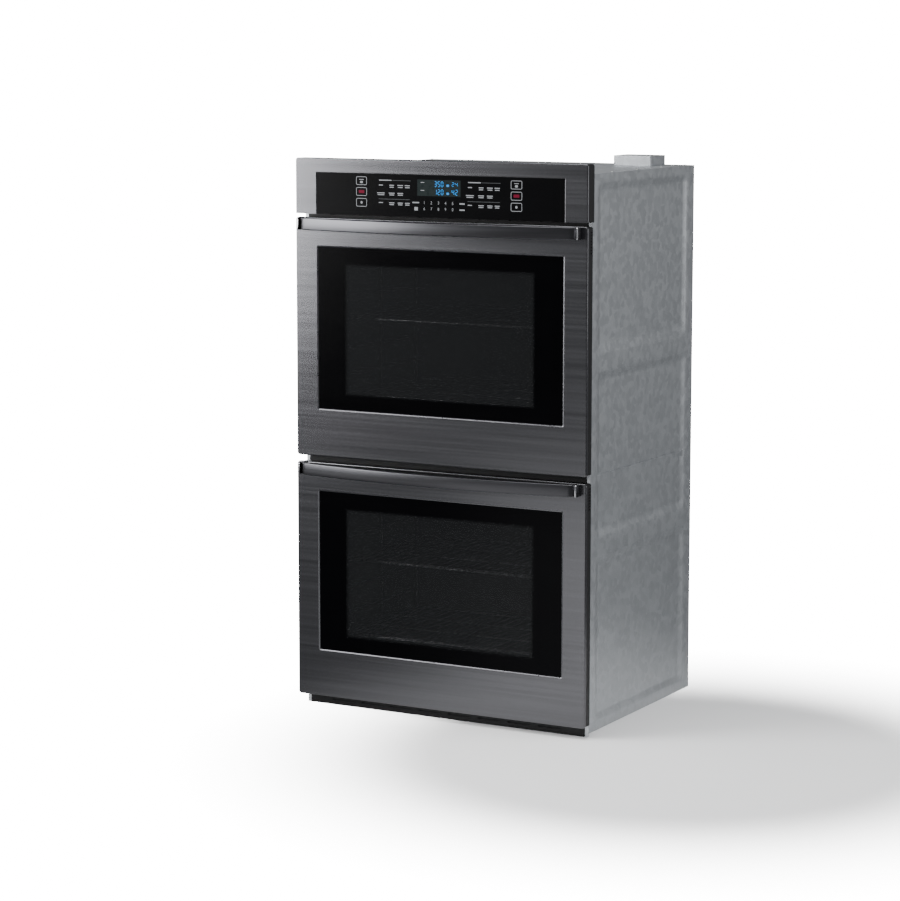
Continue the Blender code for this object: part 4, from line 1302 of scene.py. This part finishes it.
@dataclass
class Studio:
    """A pale floor, soft lights and the camera."""

    aim: Triple = (0.0321, -0.2835, 0.6999)
    stand: Triple = (3.1424, -5.9438, 1.5683)
    lens: float = 114.08
    shift: float = -0.03
    roll: float = 0.038
    ambient: float = 0.30
    backdrop: float = 18.0
    floor_radius: float = 3.0
    floor_middle: Triple = (-0.60, 0.30, 0.0)
    floor_fade: Pair = (0.5, 1.25)

    def build(self) -> None:
        """Sets up everything round the oven."""
        self.build_camera()
        self.build_world()
        self.build_floor()
        self.light("key", (-3.3, -3.05, 1.88), (0.0, -0.28, 1.0), (2.1, 2.7), 330.0)
        self.light("left", (-3.6, 0.2, 1.6), (0.0, -0.1, 0.7), (2.6, 2.6), 90.0)
        self.light("top", (0.2, -1.0, 3.6), (0.0, -0.1, 0.6), (2.4, 1.8), 120.0)
        self.light("right", (3.4, 0.9, 1.6), (0.3, 0.0, 0.7), (2.0, 2.2), 60.0)
        self.light("low", (-0.30, -2.60, -0.10), (0.30, -0.34, 0.30), (1.5, 0.6), 5.0)

    def build_camera(self) -> None:
        """A long lens, slightly above the middle, seen from the right of the doors."""
        data = bpy.data.cameras.new("camera")
        data.lens = self.lens
        data.sensor_width = 36.0
        data.shift_y = self.shift
        camera = bpy.data.objects.new("camera", data)
        bpy.context.scene.collection.objects.link(camera)
        look = Vector(self.aim) - Vector(self.stand)
        turn = look.to_track_quat("-Z", "Y") @ Quaternion(UP, math.radians(self.roll))
        camera.location = self.stand
        camera.rotation_euler = turn.to_euler()
        bpy.context.scene.camera = camera

    def build_world(self) -> None:
        """White where the camera sees it, and a dim even grey for what the oven mirrors."""
        world = bpy.data.worlds.new("studio")
        bpy.context.scene.world = world
        world.use_nodes = True
        tree = world.node_tree
        tree.nodes.clear()
        grey = add(tree, "Background", {"Color": linear("#eef1f5"), "Strength": self.ambient})
        white = add(tree, "Background", {"Color": linear("#ffffff"), "Strength": self.backdrop})
        seen = add(tree, "LightPath").outputs["Is Camera Ray"]
        mix = add(tree, "MixShader", {0: seen, 1: grey.outputs[0], 2: white.outputs[0]})
        add(tree, "OutputWorld", {"Surface": mix.outputs[0]})

    def build_floor(self) -> None:
        """A pale disc that fades out with the distance from a point beside the oven."""
        share = np.linspace(0, 1, 25)[:, None]
        angle = np.linspace(0, 2 * math.pi, 97)
        reach = self.floor_radius * share
        parts = np.broadcast_arrays(reach * np.cos(angle), reach * np.sin(angle), -0.0005)
        grid = np.stack(parts, axis=-1)
        floor = Surface().add(grid).build("floor")
        pale = bpy.data.materials.new("pale_floor")
        pale.use_nodes = True
        tree = pale.node_tree
        shader = tree.nodes["Principled BSDF"]
        shader.inputs["Base Color"].default_value = linear("#f4f4f4")
        shader.inputs["Roughness"].default_value = 0.9
        place = add(tree, "TexCoord").outputs["Object"]
        centred = add(tree, "Mapping", {"Vector": place, "Location": self.floor_middle}).outputs[0]
        away = add(tree, "VectorMath", {0: centred}, operation="LENGTH").outputs["Value"]
        near, far = self.floor_fade
        inputs = {"Value": away, "From Min": near, "From Max": far, "To Min": 1.0, "To Max": 0.0}
        fade = add(tree, "MapRange", inputs, interpolation_type="SMOOTHSTEP").outputs[0]
        tree.links.new(fade, shader.inputs["Alpha"])
        floor.data.materials.append(pale)
        floor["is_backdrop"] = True

    def light(self, name: str, place: Triple, target: Triple,
              size: Pair, watts: float) -> None:
        """A soft rectangular light that faces a target and isn't itself seen."""
        data = bpy.data.lights.new(name, "AREA")
        data.shape = "RECTANGLE"
        data.size, data.size_y = size
        data.energy = watts
        lamp = bpy.data.objects.new(name, data)
        bpy.context.scene.collection.objects.link(lamp)
        lamp.location = place
        lamp.rotation_euler = (Vector(target) - Vector(place)).to_track_quat("-Z", "Y").to_euler()
        lamp.visible_camera = False


def corners() -> list[list[float]]:
    """The lowest and highest corners of all that is shown, as plain lists."""
    return [[float(v) for v in corner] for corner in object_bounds()]


def main() -> None:
    """Builds the studio, then the oven's visible pieces in order."""
    logging.basicConfig(level=logging.INFO, format="%(message)s")
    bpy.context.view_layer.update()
    Studio().build()
    Casing().build()
    ControlPanel().build()
    for level in Level:
        OvenInterior(level).build()
        Door(level).build()


if __name__ == "__main__":
    main()
